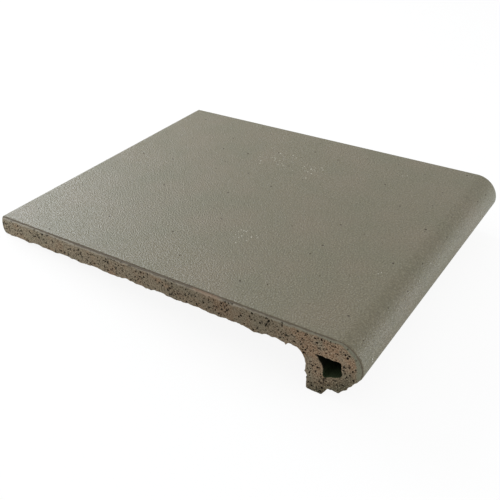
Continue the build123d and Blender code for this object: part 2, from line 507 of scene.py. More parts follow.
middle_of_plate = np.array([[DEPTH / 2, -REAR_THICKNESS / 2]])
print("middle of the plate is clay:", bool(is_inside(middle_of_plate, outline)[0]),
      f"and lies {clearance(middle_of_plate, outline)[0]:.1f} mm from the skin")

# %% Scatter the pores
TRIES, CLUSTERED_TRIES = 14, 0.3            # tries for each pore, and how many of those cluster
PORE_TO_RIM, PORE_TO_HOLLOW = 1.1, 0.9      # millimetres kept clear of pores
SPONGED, SPONGE_WAVER = 2.6, 0.8            # and under the tread, where the sponge closed them
SMALLER_ONES = 1.6                          # above 1, small pores are commoner than large ones
PORE_GAP, LEAST_GAP = 1.25, 0.15            # room between pores, in their radii and in millimetres


def scatter_pores(draw, border, void, scars):
    """Pores that keep clear of each other and of the edges: u, v, radius, stretch and lean."""
    pores = list(scars)
    centres = draw.uniform((0, -15), (DEPTH, 0), (CLUSTERS, 2))
    for count, smallest, largest, clustered in PORE_KINDS:
        tries = draw.uniform((0, -LEG_DEPTH), (DEPTH, 0), (count * TRIES, 2))
        grouped = draw.random(len(tries)) < clustered * CLUSTERED_TRIES
        near = centres[draw.integers(CLUSTERS, size=len(tries))] + draw.normal(0, CLUSTER_SPREAD, tries.shape)
        tries[grouped] = near[grouped]
        tries = tries[is_inside(tries, border) & ~is_inside(tries, void)]
        tries = tries[(clearance(tries, border) > PORE_TO_RIM) & (clearance(tries, void) > PORE_TO_HOLLOW)]
        tries = tries[tries[:, 1] < -SPONGED + SPONGE_WAVER * draw.random(len(tries))]
        placed = 0
        for u, v in tries:
            radius = smallest + (largest - smallest) * draw.random() ** SMALLER_ONES
            if all(math.hypot(u - p[0], v - p[1]) > PORE_GAP * (radius + p[2]) + LEAST_GAP for p in pores):
                pores.append((u, v, radius, draw.uniform(0.85, 1.25), draw.uniform(0, 180)))
                placed += 1
            if placed == count:
                break
    return np.array(pores)


# %% Scatter the plain points between the pores
GRAIN_SPACING = 1.15                        # millimetres between the points of a plain cut face
ROW_RISE, GRAIN_WAVER = 0.866, 0.16         # both in spacings: rows of triangles, shaken a little
GRAIN_TO_RIM, GRAIN_TO_HOLLOW, GRAIN_TO_PORE = 0.55, 0.5, 0.3


def scatter_grains(draw, border, void, pores):
    """Plain points of a cut face, in shaken rows that leave out the pores."""
    rows = np.arange(-LEG_DEPTH, 0, GRAIN_SPACING * ROW_RISE)
    grains = np.array([
        (u + (i % 2) * GRAIN_SPACING / 2, v)
        for i, v in enumerate(rows) for u in np.arange(0, DEPTH, GRAIN_SPACING)])
    grains += draw.normal(0, GRAIN_SPACING * GRAIN_WAVER, grains.shape)
    keep = is_inside(grains, border) & ~is_inside(grains, void)
    keep &= (clearance(grains, border) > GRAIN_TO_RIM) & (clearance(grains, void) > GRAIN_TO_HOLLOW)
    for u, v, radius, stretch, _ in pores:
        room = radius * max(stretch, 1 / stretch) + GRAIN_TO_PORE
        keep &= np.hypot(grains[:, 0] - u, grains[:, 1] - v) > room
    return grains[keep]


# %% Dig the pores
LARGE_PORE = 0.45                           # radius from which a pore gets a ring on its floor
# For each ring: its share of the radius, how many points, its share of the depth, and its shade
LARGE_RINGS, SMALL_RINGS = ((1.0, 8, 0.0, 0.0), (0.8, 8, 0.65, 1.0)), ((1.0, 6, 0.0, 0.0),)
SHALLOWEST, DEEPEST = 1.3, 2.2              # depth of a pore, in its radii
NARROWEST, WIDEST = 0.82, 1.18              # how far a ring strays from round


def dig_pore(draw, u, v, radius, stretch, lean):
    """The rings and the bottom of one pore: places, depths and shades."""
    points, depths, shades = [], [], []
    deep = radius * draw.uniform(SHALLOWEST, DEEPEST)
    c, s = math.cos(math.radians(lean)), math.sin(math.radians(lean))
    for share_out, count, depth_share, shade in LARGE_RINGS if radius > LARGE_PORE else SMALL_RINGS:
        angles = (np.arange(count) + draw.random()) * 2 * math.pi / count
        wobble = radius * share_out * draw.uniform(NARROWEST, WIDEST, count)
        ring = np.stack([np.cos(angles) * wobble * stretch, np.sin(angles) * wobble / stretch], axis=1)
        points.append(np.array([u, v]) + ring @ np.array([[c, s], [-s, c]]))
        depths += [deep * depth_share] * count
        shades += [shade] * count
    points.append(np.array([[u, v]]))
    return np.concatenate(points), depths + [deep], shades + [1.0]


# %% Join points and pores into one sheet
WELD = 1e-5                                 # millimetres, for points that fall together


def cut_end(seed, border, void, scars):
    """One cut end as a flat sheet: places in the section's plane, depths, pore shade and triangles."""
    draw = np.random.default_rng(seed)
    pores = scatter_pores(draw, border, void, scars)
    points = [border, void, scatter_grains(draw, border, void, pores)]
    flat = sum(len(p) for p in points)
    depths, shades = [0.0] * flat, [0.0] * flat
    for pore in pores:
        places, down, dark = dig_pore(draw, *pore)
        points.append(places)
        depths += down
        shades += dark

    first = len(border)
    loops = [list(range(first))[::-1], list(range(first, first + len(void)))[::-1]]
    spots, _, triangles, came_from, _, in_loops = delaunay_2d_cdt(
        [Vector(p) for p in np.concatenate(points)], [], loops, 1, WELD)
    spots = np.array(spots)
    origin = np.array([c[0] for c in came_from])
    triangles = np.array([t for t, loop in zip(triangles, in_loops) if 0 in loop and 1 not in loop])
    a, b, c = (spots[triangles[:, k]] for k in range(3))
    area = (b[:, 0] - a[:, 0]) * (c[:, 1] - a[:, 1]) - (b[:, 1] - a[:, 1]) * (c[:, 0] - a[:, 0])
    triangles[area < 0] = triangles[area < 0][:, ::-1]
    return spots, np.array(depths)[origin], np.array(shades)[origin], triangles, pores


# %% Make both cut ends
rim = outline - outward * arris[:, None]
hollow_rim = hollow_line + hollow_side * hollow_edge[:, None]
ends = {-1: cut_end(11, rim, hollow_rim, NEAR_SCARS), 1: cut_end(12, rim, hollow_rim, [])}
for side_sign, end in ends.items():
    print(f"cut end at y {side_sign * WIDTH / 2:+.1f}: {len(end[4])} pores, {len(end[3])} triangles")

# %% [markdown]
# Joining skin, hollow and ends
#
# The skins and the two ends were made apart, but their rims have exactly the same points. All of them
# go into one list of vertices and faces, and points that coincide are merged, which closes the tile.
# Each vertex also carries what the next steps need: which way is out, how bare the clay is, how far it
# belongs to a cut face, and how deep in a pore it lies.

# %% Gather the two skins
def read_skin(mesh):
    """A swept skin as plain arrays: vertices, directions, clay, and its four-sided faces."""
    spots = np.empty(len(mesh.vertices) * 3)
    mesh.vertices.foreach_get("co", spots)
    directions = np.empty(len(mesh.vertices) * 3)
    mesh.attributes["outward"].data.foreach_get("vector", directions)
    bare = np.empty(len(mesh.vertices))
    mesh.attributes["clay"].data.foreach_get("value", bare)
    return spots.reshape(-1, 3), directions.reshape(-1, 3), bare, [list(p.vertices) for p in mesh.polygons]


frame_axes = np.array([FORWARD, ALONG, UP])
corner = np.array(CORNER)
parts = {"spot": [], "out": [], "clay": [], "cut": [], "pit": []}
polygons, end_faces = [], []


def add_part(spots, out, bare, cut, pit, part_faces, is_end):
    """Put one part's vertices and faces behind those already in the list."""
    start = sum(len(s) for s in parts["spot"])
    for key, value in (("spot", spots), ("out", out), ("clay", bare), ("cut", cut), ("pit", pit)):
        parts[key].append(np.asarray(value, float))
    polygons.extend([[start + i for i in face] for face in part_faces])
    end_faces.extend([is_end] * len(part_faces))


for swept in (skin, tube):
    spots, out, bare, part_faces = read_skin(swept)
    nothing = np.zeros(len(spots))
    add_part(spots, out, bare, nothing, nothing, part_faces, False)
print(f"skins: {len(polygons)} faces")

# %% Add the two cut ends
RIM_FADE = 3.0          # millimetres over which a torn rim still moves the cut face beside it
CUT_FADE = 0.8          # and over which the cut face takes up its own crumbs


def smooth(value):
    """A soft step from 0 to 1."""
    value = np.clip(value, 0, 1)
    return value * value * (3 - 2 * value)


rims = np.concatenate([rim, hollow_rim])
rim_sides = np.concatenate([outward, -hollow_side])
rim_clay = np.concatenate([clay, np.ones(len(hollow_rim))])
for sign, (uv, depth, shade, triangles, pores) in ends.items():
    gap = np.linalg.norm(uv[:, None, :] - rims[None, :, :], axis=2)
    nearest = gap.argmin(axis=1)
    gap = gap.min(axis=1)
    in_tile = np.stack([uv[:, 0], sign * (WIDTH / 2 - depth), uv[:, 1]], axis=1)
    fade = 1 - smooth(gap / RIM_FADE)
    out = rim_sides[nearest] @ frame_axes[[0, 2]] * fade[:, None]
    cut = sign * smooth(gap / CUT_FADE)
    winding = triangles if sign < 0 else triangles[:, ::-1]
    in_room = corner + in_tile * MM @ frame_axes
    add_part(in_room, out, rim_clay[nearest], cut, shade, winding.tolist(), True)
print(f"with the ends: {len(polygons)} faces")

# %% One closed mesh
RIM_WELD = 0.004 * MM

tile_mesh = bpy.data.meshes.new("tread_tile_joined")
tile_mesh.from_pydata(np.concatenate(parts["spot"]).tolist(), [], polygons)
for name in ("clay", "cut", "pit"):
    tile_mesh.attributes.new(name, "FLOAT", "POINT").data.foreach_set(
        "value", np.concatenate(parts[name]).astype(np.float32))
tile_mesh.attributes.new("outward", "FLOAT_VECTOR", "POINT").data.foreach_set(
    "vector", np.concatenate(parts["out"]).astype(np.float32).ravel())
tile_mesh.attributes.new("cut_end", "BOOLEAN", "FACE").data.foreach_set("value", end_faces)

joined = bmesh.new()
joined.from_mesh(tile_mesh)
bmesh.ops.remove_doubles(joined, verts=joined.verts, dist=RIM_WELD)
open_edges = sum(1 for edge in joined.edges if len(edge.link_faces) != 2)
joined.to_mesh(tile_mesh)
print(f"joined: {len(joined.verts)} vertices, {len(joined.faces)} faces, {open_edges} open edges")
joined.free()

# %% [markdown]
# Knocks and burrs
#
# No two tiles leave the cutting table alike. The near end of this one has a burr under the plate, a
# crumb and a notch on the back of its leg, stretches of its lower rim that sagged and filled the
# grooves there, and a rear corner that was squeezed outwards. Modelling each by hand would be slow and
# hard to change. Each is a small push with a soft edge instead, given where it is on the section.

# %% Push single knocks into the clay
# u, v, which end, how far it reaches, then the push along u and v, all in millimetres
KNOCKS = [
    (243.9, -16.6, -1, 1.15, -0.1, -1.5),
    (247.2, -16.8, -1, 2.4, 0.1, 0.5),
    (257.2, -32.2, -1, 1.5, -0.9, -0.2),
    (257.6, -35.4, -1, 1.5, 0.9, 0.0),
    (258.9, -44.6, -1, 3.2, -0.3, -0.3),
    (257.0, -26.0, -1, 1.6, 0.4, 0.0),
    (270.9, -30.6, -1, 3.0, -0.2, -0.9),
    (-0.6, -9.5, -1, 7.0, -1.3, 0.0),
    (0.6, -13.6, -1, 3.5, -0.5, 0.2),
    (26.5, -15.6, -1, 6.0, 0.0, -0.6),
    (33.5, -14.8, -1, 3.0, 0.0, 0.1),
    (61.5, -14.9, -1, 4.5, 0.0, -0.7),
    (71.0, -15.6, -1, 2.2, 0.0, 0.35),
    (77.0, -15.8, -1, 3.6, 0.0, -0.6),
    (113.0, -15.9, -1, 4.5, 0.0, -0.1),
    (141.0, -16.0, -1, 4.5, 0.0, -0.1),
    (176.5, -15.2, -1, 5.0, 0.0, -0.6),
    (205.5, -15.3, -1, 5.5, 0.0, -1.1),
    (222.0, -16.4, -1, 8.0, 0.0, -1.1),
    (234.0, -15.5, -1, 5.0, 0.0, -1.0),
    (284.4, -35.2, -1, 2.6, 0.6, 0.0),
    (265.2, -16.0, -1, 2.4, -1.3, -0.4),
    (269.0, -24.0, -1, 5.0, 0.6, 0.2),
    (276.0, -39.4, -1, 1.4, 0.0, 0.4),
    (270.8, -39.9, -1, 1.1, 0.3, -0.3),
    (118.0, -15.9, 1, 2.4, 0.0, 0.5),
    (206.0, -16.2, 1, 2.0, 0.0, -0.4),
    (259.0, -30.0, 1, 1.6, 0.45, 0.0),
]
KNOCK_LENGTH = 2.2       # how far along the nose a knock reaches, in its own reach

where = np.empty(len(tile_mesh.vertices) * 3)
tile_mesh.vertices.foreach_get("co", where)
in_tile = (where.reshape(-1, 3) - corner) @ frame_axes.T / MM
for u, v, sign, reach_mm, push_u, push_v in KNOCKS:
    from_end = (in_tile[:, 1] - sign * WIDTH / 2) / KNOCK_LENGTH
    distance = np.sqrt((in_tile[:, 0] - u) ** 2 + (in_tile[:, 2] - v) ** 2 + from_end**2)
    strength = 1 - smooth(distance / reach_mm)
    in_tile[:, 0] += push_u * strength
    in_tile[:, 2] += push_v * strength
tile_mesh.vertices.foreach_set("co", (corner + in_tile * MM @ frame_axes).ravel())
print(f"{len(KNOCKS)} knocks pushed in")

# %% [markdown]
# The relief of fired clay
#
# Clay that slides along a die keeps fine drag lines, clay that a wire tears keeps a crumbly rim, and
# all of it is a little lumpy. A second tree adds this to the bare clay only: it reads how bare each
# point is and moves it along its own way out. Noise is stretched along the nose for the drag lines,
# and fades away from the ends for the torn rim. Each depth and size is an input with a name.

# %% The inputs of a tree for the clay's relief
relief = bpy.data.node_groups.new("relief of fired clay", "GeometryNodeTree")
relief.interface.new_socket("Tile", in_out="INPUT", socket_type="NodeSocketGeometry")
for name in ("Half length", "Lump depth", "Lump size", "Drag depth", "Drag spacing", "Torn depth",
             "Torn size", "Torn reach", "Cut depth", "Cut size"):
    relief.interface.new_socket(name, in_out="INPUT", socket_type="NodeSocketFloat")
for name in ("Glaze", "Cut clay", "Die clay"):
    relief.interface.new_socket(name, in_out="INPUT", socket_type="NodeSocketMaterial")
relief.interface.new_socket("Fired tile", in_out="OUTPUT", socket_type="NodeSocketGeometry")
given = add_node(relief, "NodeGroupInput").outputs
here = add_node(relief, "GeometryNodeInputPosition")
CARRIED = {"outward": "FLOAT_VECTOR", "clay": "FLOAT", "cut": "FLOAT", "cut_end": "BOOLEAN"}
read = {name: add_node(relief, "GeometryNodeInputNamedAttribute", {"Name": name}, data_type=kind)
        for name, kind in CARRIED.items()}
print(f"the relief reads {', '.join(CARRIED)}")


# %% Four kinds of roughness
def noise_push(stretch, size, depth, detail):
    """Noise about zero, as deep as its depth, with features of its size and a stretch along the nose."""
    squeezed = add_node(relief, "ShaderNodeVectorMath", {
        0: here, 1: (1.0, stretch, 1.0)}, operation="MULTIPLY")
    frequency = add_node(relief, "ShaderNodeMath", {0: 1.0, 1: size}, operation="DIVIDE")
    noise = add_node(relief, "ShaderNodeTexNoise", {"Vector": squeezed, "Scale": frequency, "Detail": detail})
    centred = add_node(relief, "ShaderNodeMath", {0: noise.outputs[0], 1: 0.5}, operation="SUBTRACT")
    doubled = add_node(relief, "ShaderNodeMath", {0: centred, 1: 2.0}, operation="MULTIPLY")
    return add_node(relief, "ShaderNodeMath", {0: doubled, 1: depth}, operation="MULTIPLY")


lumps = noise_push(0.5, given["Lump size"], given["Lump depth"], 2.0)
drags = noise_push(0.03, given["Drag spacing"], given["Drag depth"], 1.0)
torn = noise_push(0.35, given["Torn size"], given["Torn depth"], 1.5)
crumbs = noise_push(1.0, given["Cut size"], given["Cut depth"], 3.0)

# %% Tear the clay at its ends and move every point
TORN_ELSEWHERE = 0.12      # how much of the tearing is left away from the ends

along_nose = add_node(relief, "ShaderNodeSeparateXYZ", {0: here}).outputs["Y"]
from_middle = add_node(relief, "ShaderNodeMath", {0: along_nose}, operation="ABSOLUTE")
to_end = add_node(relief, "ShaderNodeMath", {0: given["Half length"], 1: from_middle}, operation="SUBTRACT")
near_end = add_node(relief, "ShaderNodeMapRange", {
    "Value": to_end, "From Min": 0.0, "From Max": given["Torn reach"],
    "To Min": 1.0, "To Max": TORN_ELSEWHERE}, interpolation_type="SMOOTHSTEP")
torn_here = add_node(relief, "ShaderNodeMath", {0: torn, 1: near_end}, operation="MULTIPLY")
skin_push = add_node(relief, "ShaderNodeMath", {0: lumps, 1: drags}, operation="ADD")
skin_push = add_node(relief, "ShaderNodeMath", {0: skin_push, 1: torn_here}, operation="ADD")
skin_push = add_node(relief, "ShaderNodeMath", {0: skin_push, 1: read["clay"]}, operation="MULTIPLY")
skin_move = add_node(relief, "ShaderNodeVectorMath", {
    0: read["outward"], "Scale": skin_push}, operation="SCALE")
end_push = add_node(relief, "ShaderNodeMath", {0: crumbs, 1: read["cut"]}, operation="MULTIPLY")
end_move = add_node(relief, "ShaderNodeCombineXYZ", {"Y": end_push})
move = add_node(relief, "ShaderNodeVectorMath", {0: skin_move, 1: end_move}, operation="ADD")
moved = add_node(relief, "GeometryNodeSetPosition", {"Geometry": given["Tile"], "Offset": move})

# %% Give each face its material
BARE_FROM = 0.4            # how bare clay has to be to lose its glaze

glazed_here = add_node(relief, "FunctionNodeCompare", {"A": read["clay"], "B": BARE_FROM},
                       data_type="FLOAT", operation="LESS_THAN")
shaded = add_node(relief, "GeometryNodeSetShadeSmooth", {"Geometry": moved, "Shade Smooth": True})
real = add_node(relief, "GeometryNodeRealizeInstances", {"Geometry": shaded})
finish = add_node(relief, "GeometryNodeSetMaterial", {"Geometry": real, "Material": given["Die clay"]})
finish = add_node(relief, "GeometryNodeSetMaterial", {
    "Geometry": finish, "Selection": glazed_here, "Material": given["Glaze"]})
finish = add_node(relief, "GeometryNodeSetMaterial", {
    "Geometry": finish, "Selection": read["cut_end"], "Material": given["Cut clay"]})
add_node(relief, "NodeGroupOutput", {"Fired tile": finish})

print(f"relief tree: {len(relief.nodes)} nodes")

# %% Fire the tile
fired = run_tree(tile_mesh, relief, {
    "Half length": WIDTH / 2 * MM, "Lump depth": 0.22 * MM, "Lump size": 8.0 * MM,
    "Drag depth": 0.16 * MM, "Drag spacing": 2.6 * MM, "Torn depth": 0.95 * MM, "Torn size": 3.4 * MM,
    "Torn reach": 4.0 * MM, "Cut depth": 0.22 * MM, "Cut size": 2.6 * MM,
    "Glaze": glaze, "Cut clay": cut_clay, "Die clay": die_clay}, "fired tile")
print(f"fired tile: {len(fired.vertices)} vertices, materials {[m.name for m in fired.materials]}")

# %% [markdown]
# Grog
#
# Potters mix ground, already fired clay into a stiff body, so that it dries without cracking. It is
# called grog, and the wire leaves some of its pale, sharp grains standing in the cut face. They are a
# clear case for scattering: points are spread over the cut faces, each gets a rough little lump, and
# the lumps are turned and sized at random from fixed seeds.

# %% Points for the grog
OPEN_FACE = 0.95           # how far a point has to be cut face, and out of pores, to hold a grain

grog = bpy.data.node_groups.new("grog in the cut face", "GeometryNodeTree")
for name, kind in (("Tile", "Geometry"), ("Grains per square metre", "Float"), ("Grain radius", "Float"),
                   ("Seed", "Int"), ("Finish", "Material")):
    grog.interface.new_socket(name, in_out="INPUT", socket_type="NodeSocket" + kind)
grog.interface.new_socket("Grains", in_out="OUTPUT", socket_type="NodeSocketGeometry")
given = add_node(grog, "NodeGroupInput").outputs
cut_weight = add_node(grog, "GeometryNodeInputNamedAttribute", {"Name": "cut"}, data_type="FLOAT")
cut_size = add_node(grog, "ShaderNodeMath", {0: cut_weight}, operation="ABSOLUTE")
in_pore = add_node(grog, "GeometryNodeInputNamedAttribute", {"Name": "pit"}, data_type="FLOAT")
open_face = add_node(grog, "ShaderNodeMath", {0: cut_size, 1: in_pore}, operation="SUBTRACT")
chosen = add_node(grog, "FunctionNodeCompare", {"A": open_face, "B": OPEN_FACE},
                  data_type="FLOAT", operation="GREATER_THAN")
scattered = add_node(grog, "GeometryNodeDistributePointsOnFaces", {
    "Mesh": given["Tile"], "Selection": chosen, "Density": given["Grains per square metre"],
    "Seed": given["Seed"]})
print(f"points for the grog: {len(grog.nodes)} nodes")

# %% Crush a grain and set it on the points
WHOLE_TURN, SMALLEST_GRAIN, LARGEST_GRAIN = 6.28, 0.45, 1.3     # in radians, then in grain radii
CRUSHED = 2600.0           # lumps of the crushing noise in a metre

lump = add_node(grog, "GeometryNodeMeshIcoSphere", {"Radius": given["Grain radius"], "Subdivisions": 1})
rough = add_node(grog, "ShaderNodeTexNoise", {"Scale": CRUSHED, "Detail": 0.0})
rough_push = add_node(grog, "ShaderNodeVectorMath", {0: rough.outputs["Color"], 1: (0.5, 0.5, 0.5)},
                      operation="SUBTRACT")
rough_move = add_node(grog, "ShaderNodeVectorMath", {0: rough_push, "Scale": given["Grain radius"]},
                      operation="SCALE")
crushed = add_node(grog, "GeometryNodeSetPosition", {"Geometry": lump, "Offset": rough_move})
spin = add_node(grog, "FunctionNodeRandomValue", {
    "Max": (WHOLE_TURN,) * 3, "Seed": 3}, data_type="FLOAT_VECTOR")
sizes = add_node(grog, "FunctionNodeRandomValue", {
    "Min": (SMALLEST_GRAIN,) * 3, "Max": (LARGEST_GRAIN,) * 3, "Seed": 4}, data_type="FLOAT_VECTOR")
standing = add_node(grog, "GeometryNodeInstanceOnPoints", {
    "Points": scattered.outputs["Points"], "Instance": crushed, "Rotation": spin, "Scale": sizes})
real = add_node(grog, "GeometryNodeRealizeInstances", {"Geometry": standing})
finish = add_node(grog, "GeometryNodeSetMaterial", {"Geometry": real, "Material": given["Finish"]})
add_node(grog, "NodeGroupOutput", {"Grains": finish})

GRAIN_FACES = 20           # of an icosphere with one subdivision
grains = run_tree(fired.copy(), grog, {
    "Grains per square metre": 55000.0, "Grain radius": 0.3 * MM, "Seed": 5, "Finish": grit}, "grog grains")
print(f"grog: {len(grains.polygons) // GRAIN_FACES} grains")

# %% [markdown]
# The finished tile
#
# The grains join the tile's own mesh, since they are fired into it. The tile lies on a floor, so
# nothing may reach below it, and small lumps are pressed flat there. The ends keep inside the box of
# the CAD model in the same way.

# %% One object at the origin
grit_slot = len(fired.materials)
fired.materials.append(grit)
grains.polygons.foreach_set("material_index", [grit_slot] * len(grains.polygons))
whole = bmesh.new()
whole.from_mesh(fired)
whole.from_mesh(grains)
bmesh.ops.triangulate(whole, faces=[f for f in whole.faces if len(f.verts) > 3])
for vertex in whole.verts:
    vertex.co.z = max(vertex.co.z, 0.0)
    vertex.co.y = max(cad_box[0].y, min(cad_box[1].y, vertex.co.y))
whole.to_mesh(fired)
open_edges = sum(1 for edge in whole.edges if len(edge.link_faces) != 2)
whole.free()
for name in ("clay", "outward", "cut", "cut_end"):
    found = fired.attributes.get(name)
    if found:
        fired.attributes.remove(found)
tile = bpy.data.objects.new("glazed_tread_tile", fired)
bpy.context.scene.collection.objects.link(tile)
print(f"tile: {len(fired.polygons)} triangles, {open_edges} open edges")

# %% [markdown]
# Where a material finds itself on the tile
#
# Every pattern here has a real size, so the materials reckon in millimetres of the tile, not in
# metres of the room. A Mapping node on the Object coordinates does that once: it scales, turns by the
# tilt and shifts, and gives u, y and v again. The same nodes also tell how far a point is from the cut
# end and from the glazed outline, because glaze behaves differently at an edge.

# %% Coordinates on the tile, in millimetres
def on_tile(tree):
    """The tile's own coordinates in millimetres, whole and as u, y and v."""
    room = add_node(tree, "ShaderNodeTexCoord").outputs["Object"]
    shift = (-FORWARD.dot(CORNER) / MM, 0.0, -UP.dot(CORNER) / MM)
    spot = add_node(tree, "ShaderNodeMapping", {
        "Vector": room, "Location": shift, "Rotation": (0.0, TILT, 0.0), "Scale": (1 / MM,) * 3})
    apart = add_node(tree, "ShaderNodeSeparateXYZ", {0: spot})
    return {"spot": spot, "u": apart.outputs["X"], "y": apart.outputs["Y"], "v": apart.outputs["Z"]}


print(f"patterns reckon in millimetres, turned by {math.degrees(TILT):.1f} degrees to follow the tread")


# %% How far a point lies under the glazed outline
def depth_under_glaze(tree, at):
    """Millimetres from the tread and the nose inwards, measured along the section."""
    past_u = add_node(tree, "ShaderNodeMath", {0: at["u"], 1: DEPTH - NOSE_RADIUS}, operation="SUBTRACT")
    past_u = add_node(tree, "ShaderNodeMath", {0: past_u, 1: 0.0}, operation="MAXIMUM")
    past_v = add_node(tree, "ShaderNodeMath", {0: at["v"], 1: -NOSE_RADIUS}, operation="SUBTRACT")
    past_v = add_node(tree, "ShaderNodeMath", {0: past_v, 1: 0.0}, operation="MAXIMUM")
    arm = add_node(tree, "ShaderNodeCombineXYZ", {"X": past_u, "Y": past_v})
    arm = add_node(tree, "ShaderNodeVectorMath", {0: arm}, operation="LENGTH").outputs["Value"]
    return add_node(tree, "ShaderNodeMath", {0: NOSE_RADIUS, 1: arm}, operation="SUBTRACT")


# %% The dark line along the arris
# The dark line is partly bare clay where glaze drew back, partly painted shade of the rounded arris
WIDEST_LINE = 130.0                # u where the line is widest
THINNING = 0.0075                  # millimetres it loses for each millimetre away from there
ON_TREAD = 6.6                     # how many times less far it reaches on the tread than on the cut
LINE_FULL, LINE_ENDS = 2.05, 2.75  # millimetres on the cut where it starts to fade, and where it is gone
LINE_STRENGTH = 0.85
WANDER_SIZE, WANDER = 3.0, 1.2     # millimetres along the line, and how far its edge strays


def arris_line(tree, at):
    """How much of the dark line a point has: partly bare clay where glaze drew back from the rounded arris,
    partly painted shade of the rounding.
    """
    wander = add_node(tree, "ShaderNodeTexNoise", {
        "Vector": at["spot"], "Scale": 1 / WANDER_SIZE, "Detail": 2.0})
    wander = add_node(tree, "ShaderNodeMapRange", {"Value": wander, "To Min": -WANDER, "To Max": WANDER})
    from_middle = add_node(tree, "ShaderNodeMath", {0: at["y"]}, operation="ABSOLUTE")
    to_end = add_node(tree, "ShaderNodeMath", {0: WIDTH / 2, 1: from_middle}, operation="SUBTRACT")
    on_tread = add_node(tree, "ShaderNodeMath", {0: to_end, 1: ON_TREAD}, operation="MULTIPLY")
    on_cut = depth_under_glaze(tree, at)
    reach = add_node(tree, "ShaderNodeMath", {0: on_tread, 1: on_cut}, operation="MAXIMUM")
    from_widest = add_node(tree, "ShaderNodeMath", {0: at["u"], 1: WIDEST_LINE}, operation="SUBTRACT")
    from_widest = add_node(tree, "ShaderNodeMath", {0: from_widest}, operation="ABSOLUTE")
    thinner = add_node(tree, "ShaderNodeMath", {0: from_widest, 1: THINNING}, operation="MULTIPLY")
    reach = add_node(tree, "ShaderNodeMath", {0: reach, 1: wander}, operation="ADD")
    reach = add_node(tree, "ShaderNodeMath", {0: reach, 1: thinner}, operation="ADD")
    return add_node(tree, "ShaderNodeMapRange", {
        "Value": reach, "From Min": LINE_FULL, "From Max": LINE_ENDS,
        "To Min": LINE_STRENGTH, "To Max": 0.0}, interpolation_type="SMOOTHSTEP")


print(f"the arris line reaches {LINE_FULL} mm down the cut and {LINE_FULL / ON_TREAD:.1f} mm on to the tread")

# %% [markdown]
# Satin glaze
#
# The tread and the nose have a satin glaze: ground feldspar, clay and ash sprayed as a slip, which
# melted to a thin glass full of fine crystals. The crystals scatter light, so the shine is broad and
# soft. The melt kept the faint orange peel of the spray, and iron in the clay boiled through it as
# brown specks, which are dull. A few pale flecks were rubbed off on it since. Its colour drifts between
# a warm and a greenish grey. A painted picture of all this would blur from close by and end at a seam,
# so it is reckoned from noise. Orange peel is far finer than the mesh, so it is bump, and the specks
# and flecks are Voronoi patterns with most of their cells left empty.

# %% Iron specks
# Spacing of the specks, share of places left empty, smallest and largest radius in millimetres, strength
SPECKS = ((25.0, 0.5, 0.5, 0.85, 0.85), (9.5, 0.76, 0.28, 0.48, 0.6))
SPECK_OUT, SPECK_IN = -0.05, 0.1     # millimetres over which the edge of a speck fades


def folded_sheet(tree, at):
    """A flat pattern folded over the nose: u - v grows along tread and front alike."""
    round_nose = add_node(tree, "ShaderNodeMath", {0: at["u"], 1: at["v"]}, operation="SUBTRACT")
    return add_node(tree, "ShaderNodeCombineXYZ", {"X": round_nose, "Y": at["y"]})


def iron_specks(tree, sheet):
    """How much of a point is speck, once for each kind of speck."""
    masks = []
    for cell, empty, smallest, largest, strength in SPECKS:
        specks = add_node(tree, "ShaderNodeTexVoronoi", {"Vector": sheet, "Scale": 1 / cell},
                          voronoi_dimensions="2D")
        lot = add_node(tree, "ShaderNodeSeparateColor", {"Color": specks.outputs["Color"]}).outputs["Red"]
        size = add_node(tree, "ShaderNodeMapRange", {
            "Value": lot, "From Min": empty, "From Max": 1.0,
            "To Min": smallest / cell, "To Max": largest / cell})
        edge = add_node(tree, "ShaderNodeMath", {
            0: size, 1: specks.outputs["Distance"]}, operation="SUBTRACT")
        mask = add_node(tree, "ShaderNodeMapRange", {
            "Value": edge, "From Min": SPECK_OUT / cell, "From Max": SPECK_IN / cell,
            "To Min": 0.0, "To Max": strength})
        filled = add_node(tree, "ShaderNodeMath", {0: lot, 1: empty}, operation="GREATER_THAN")
        masks.append(add_node(tree, "ShaderNodeMath", {0: mask, 1: filled}, operation="MULTIPLY"))
    return masks


for cell, empty, *_ in SPECKS:
    print(f"about {(1 - empty) * DEPTH * WIDTH / cell**2:.0f} specks of the kind spaced {cell} mm")

# %% Scuffs
# Where something hard and pale rubbed off on the glaze: u, y, v, reach in millimetres, and how crowded
SCUFFS = [
    (168.0, -54.5, 0.0, 13.0, 0.65), (127.0, 66.0, 0.0, 20.0, 0.42), (117.0, 52.0, 0.0, 8.0, 0.4),
    (160.0, 58.0, 0.0, 17.0, 0.32), (231.0, 89.0, 0.0, 4.0, 0.8), (270.0, -47.0, 0.0, 4.0, 0.9),
    (260.0, -70.0, 0.0, 4.0, 0.9), (294.8, -111.0, -15.0, 4.0, 0.9),
]
FLECK_CELL = 2.3                     # millimetres between flecks, then their smallest and largest radius
SMALLEST_FLECK, LARGEST_FLECK = 0.12, 0.48
FLECK_OUT, FLECK_IN = -0.1, 0.15


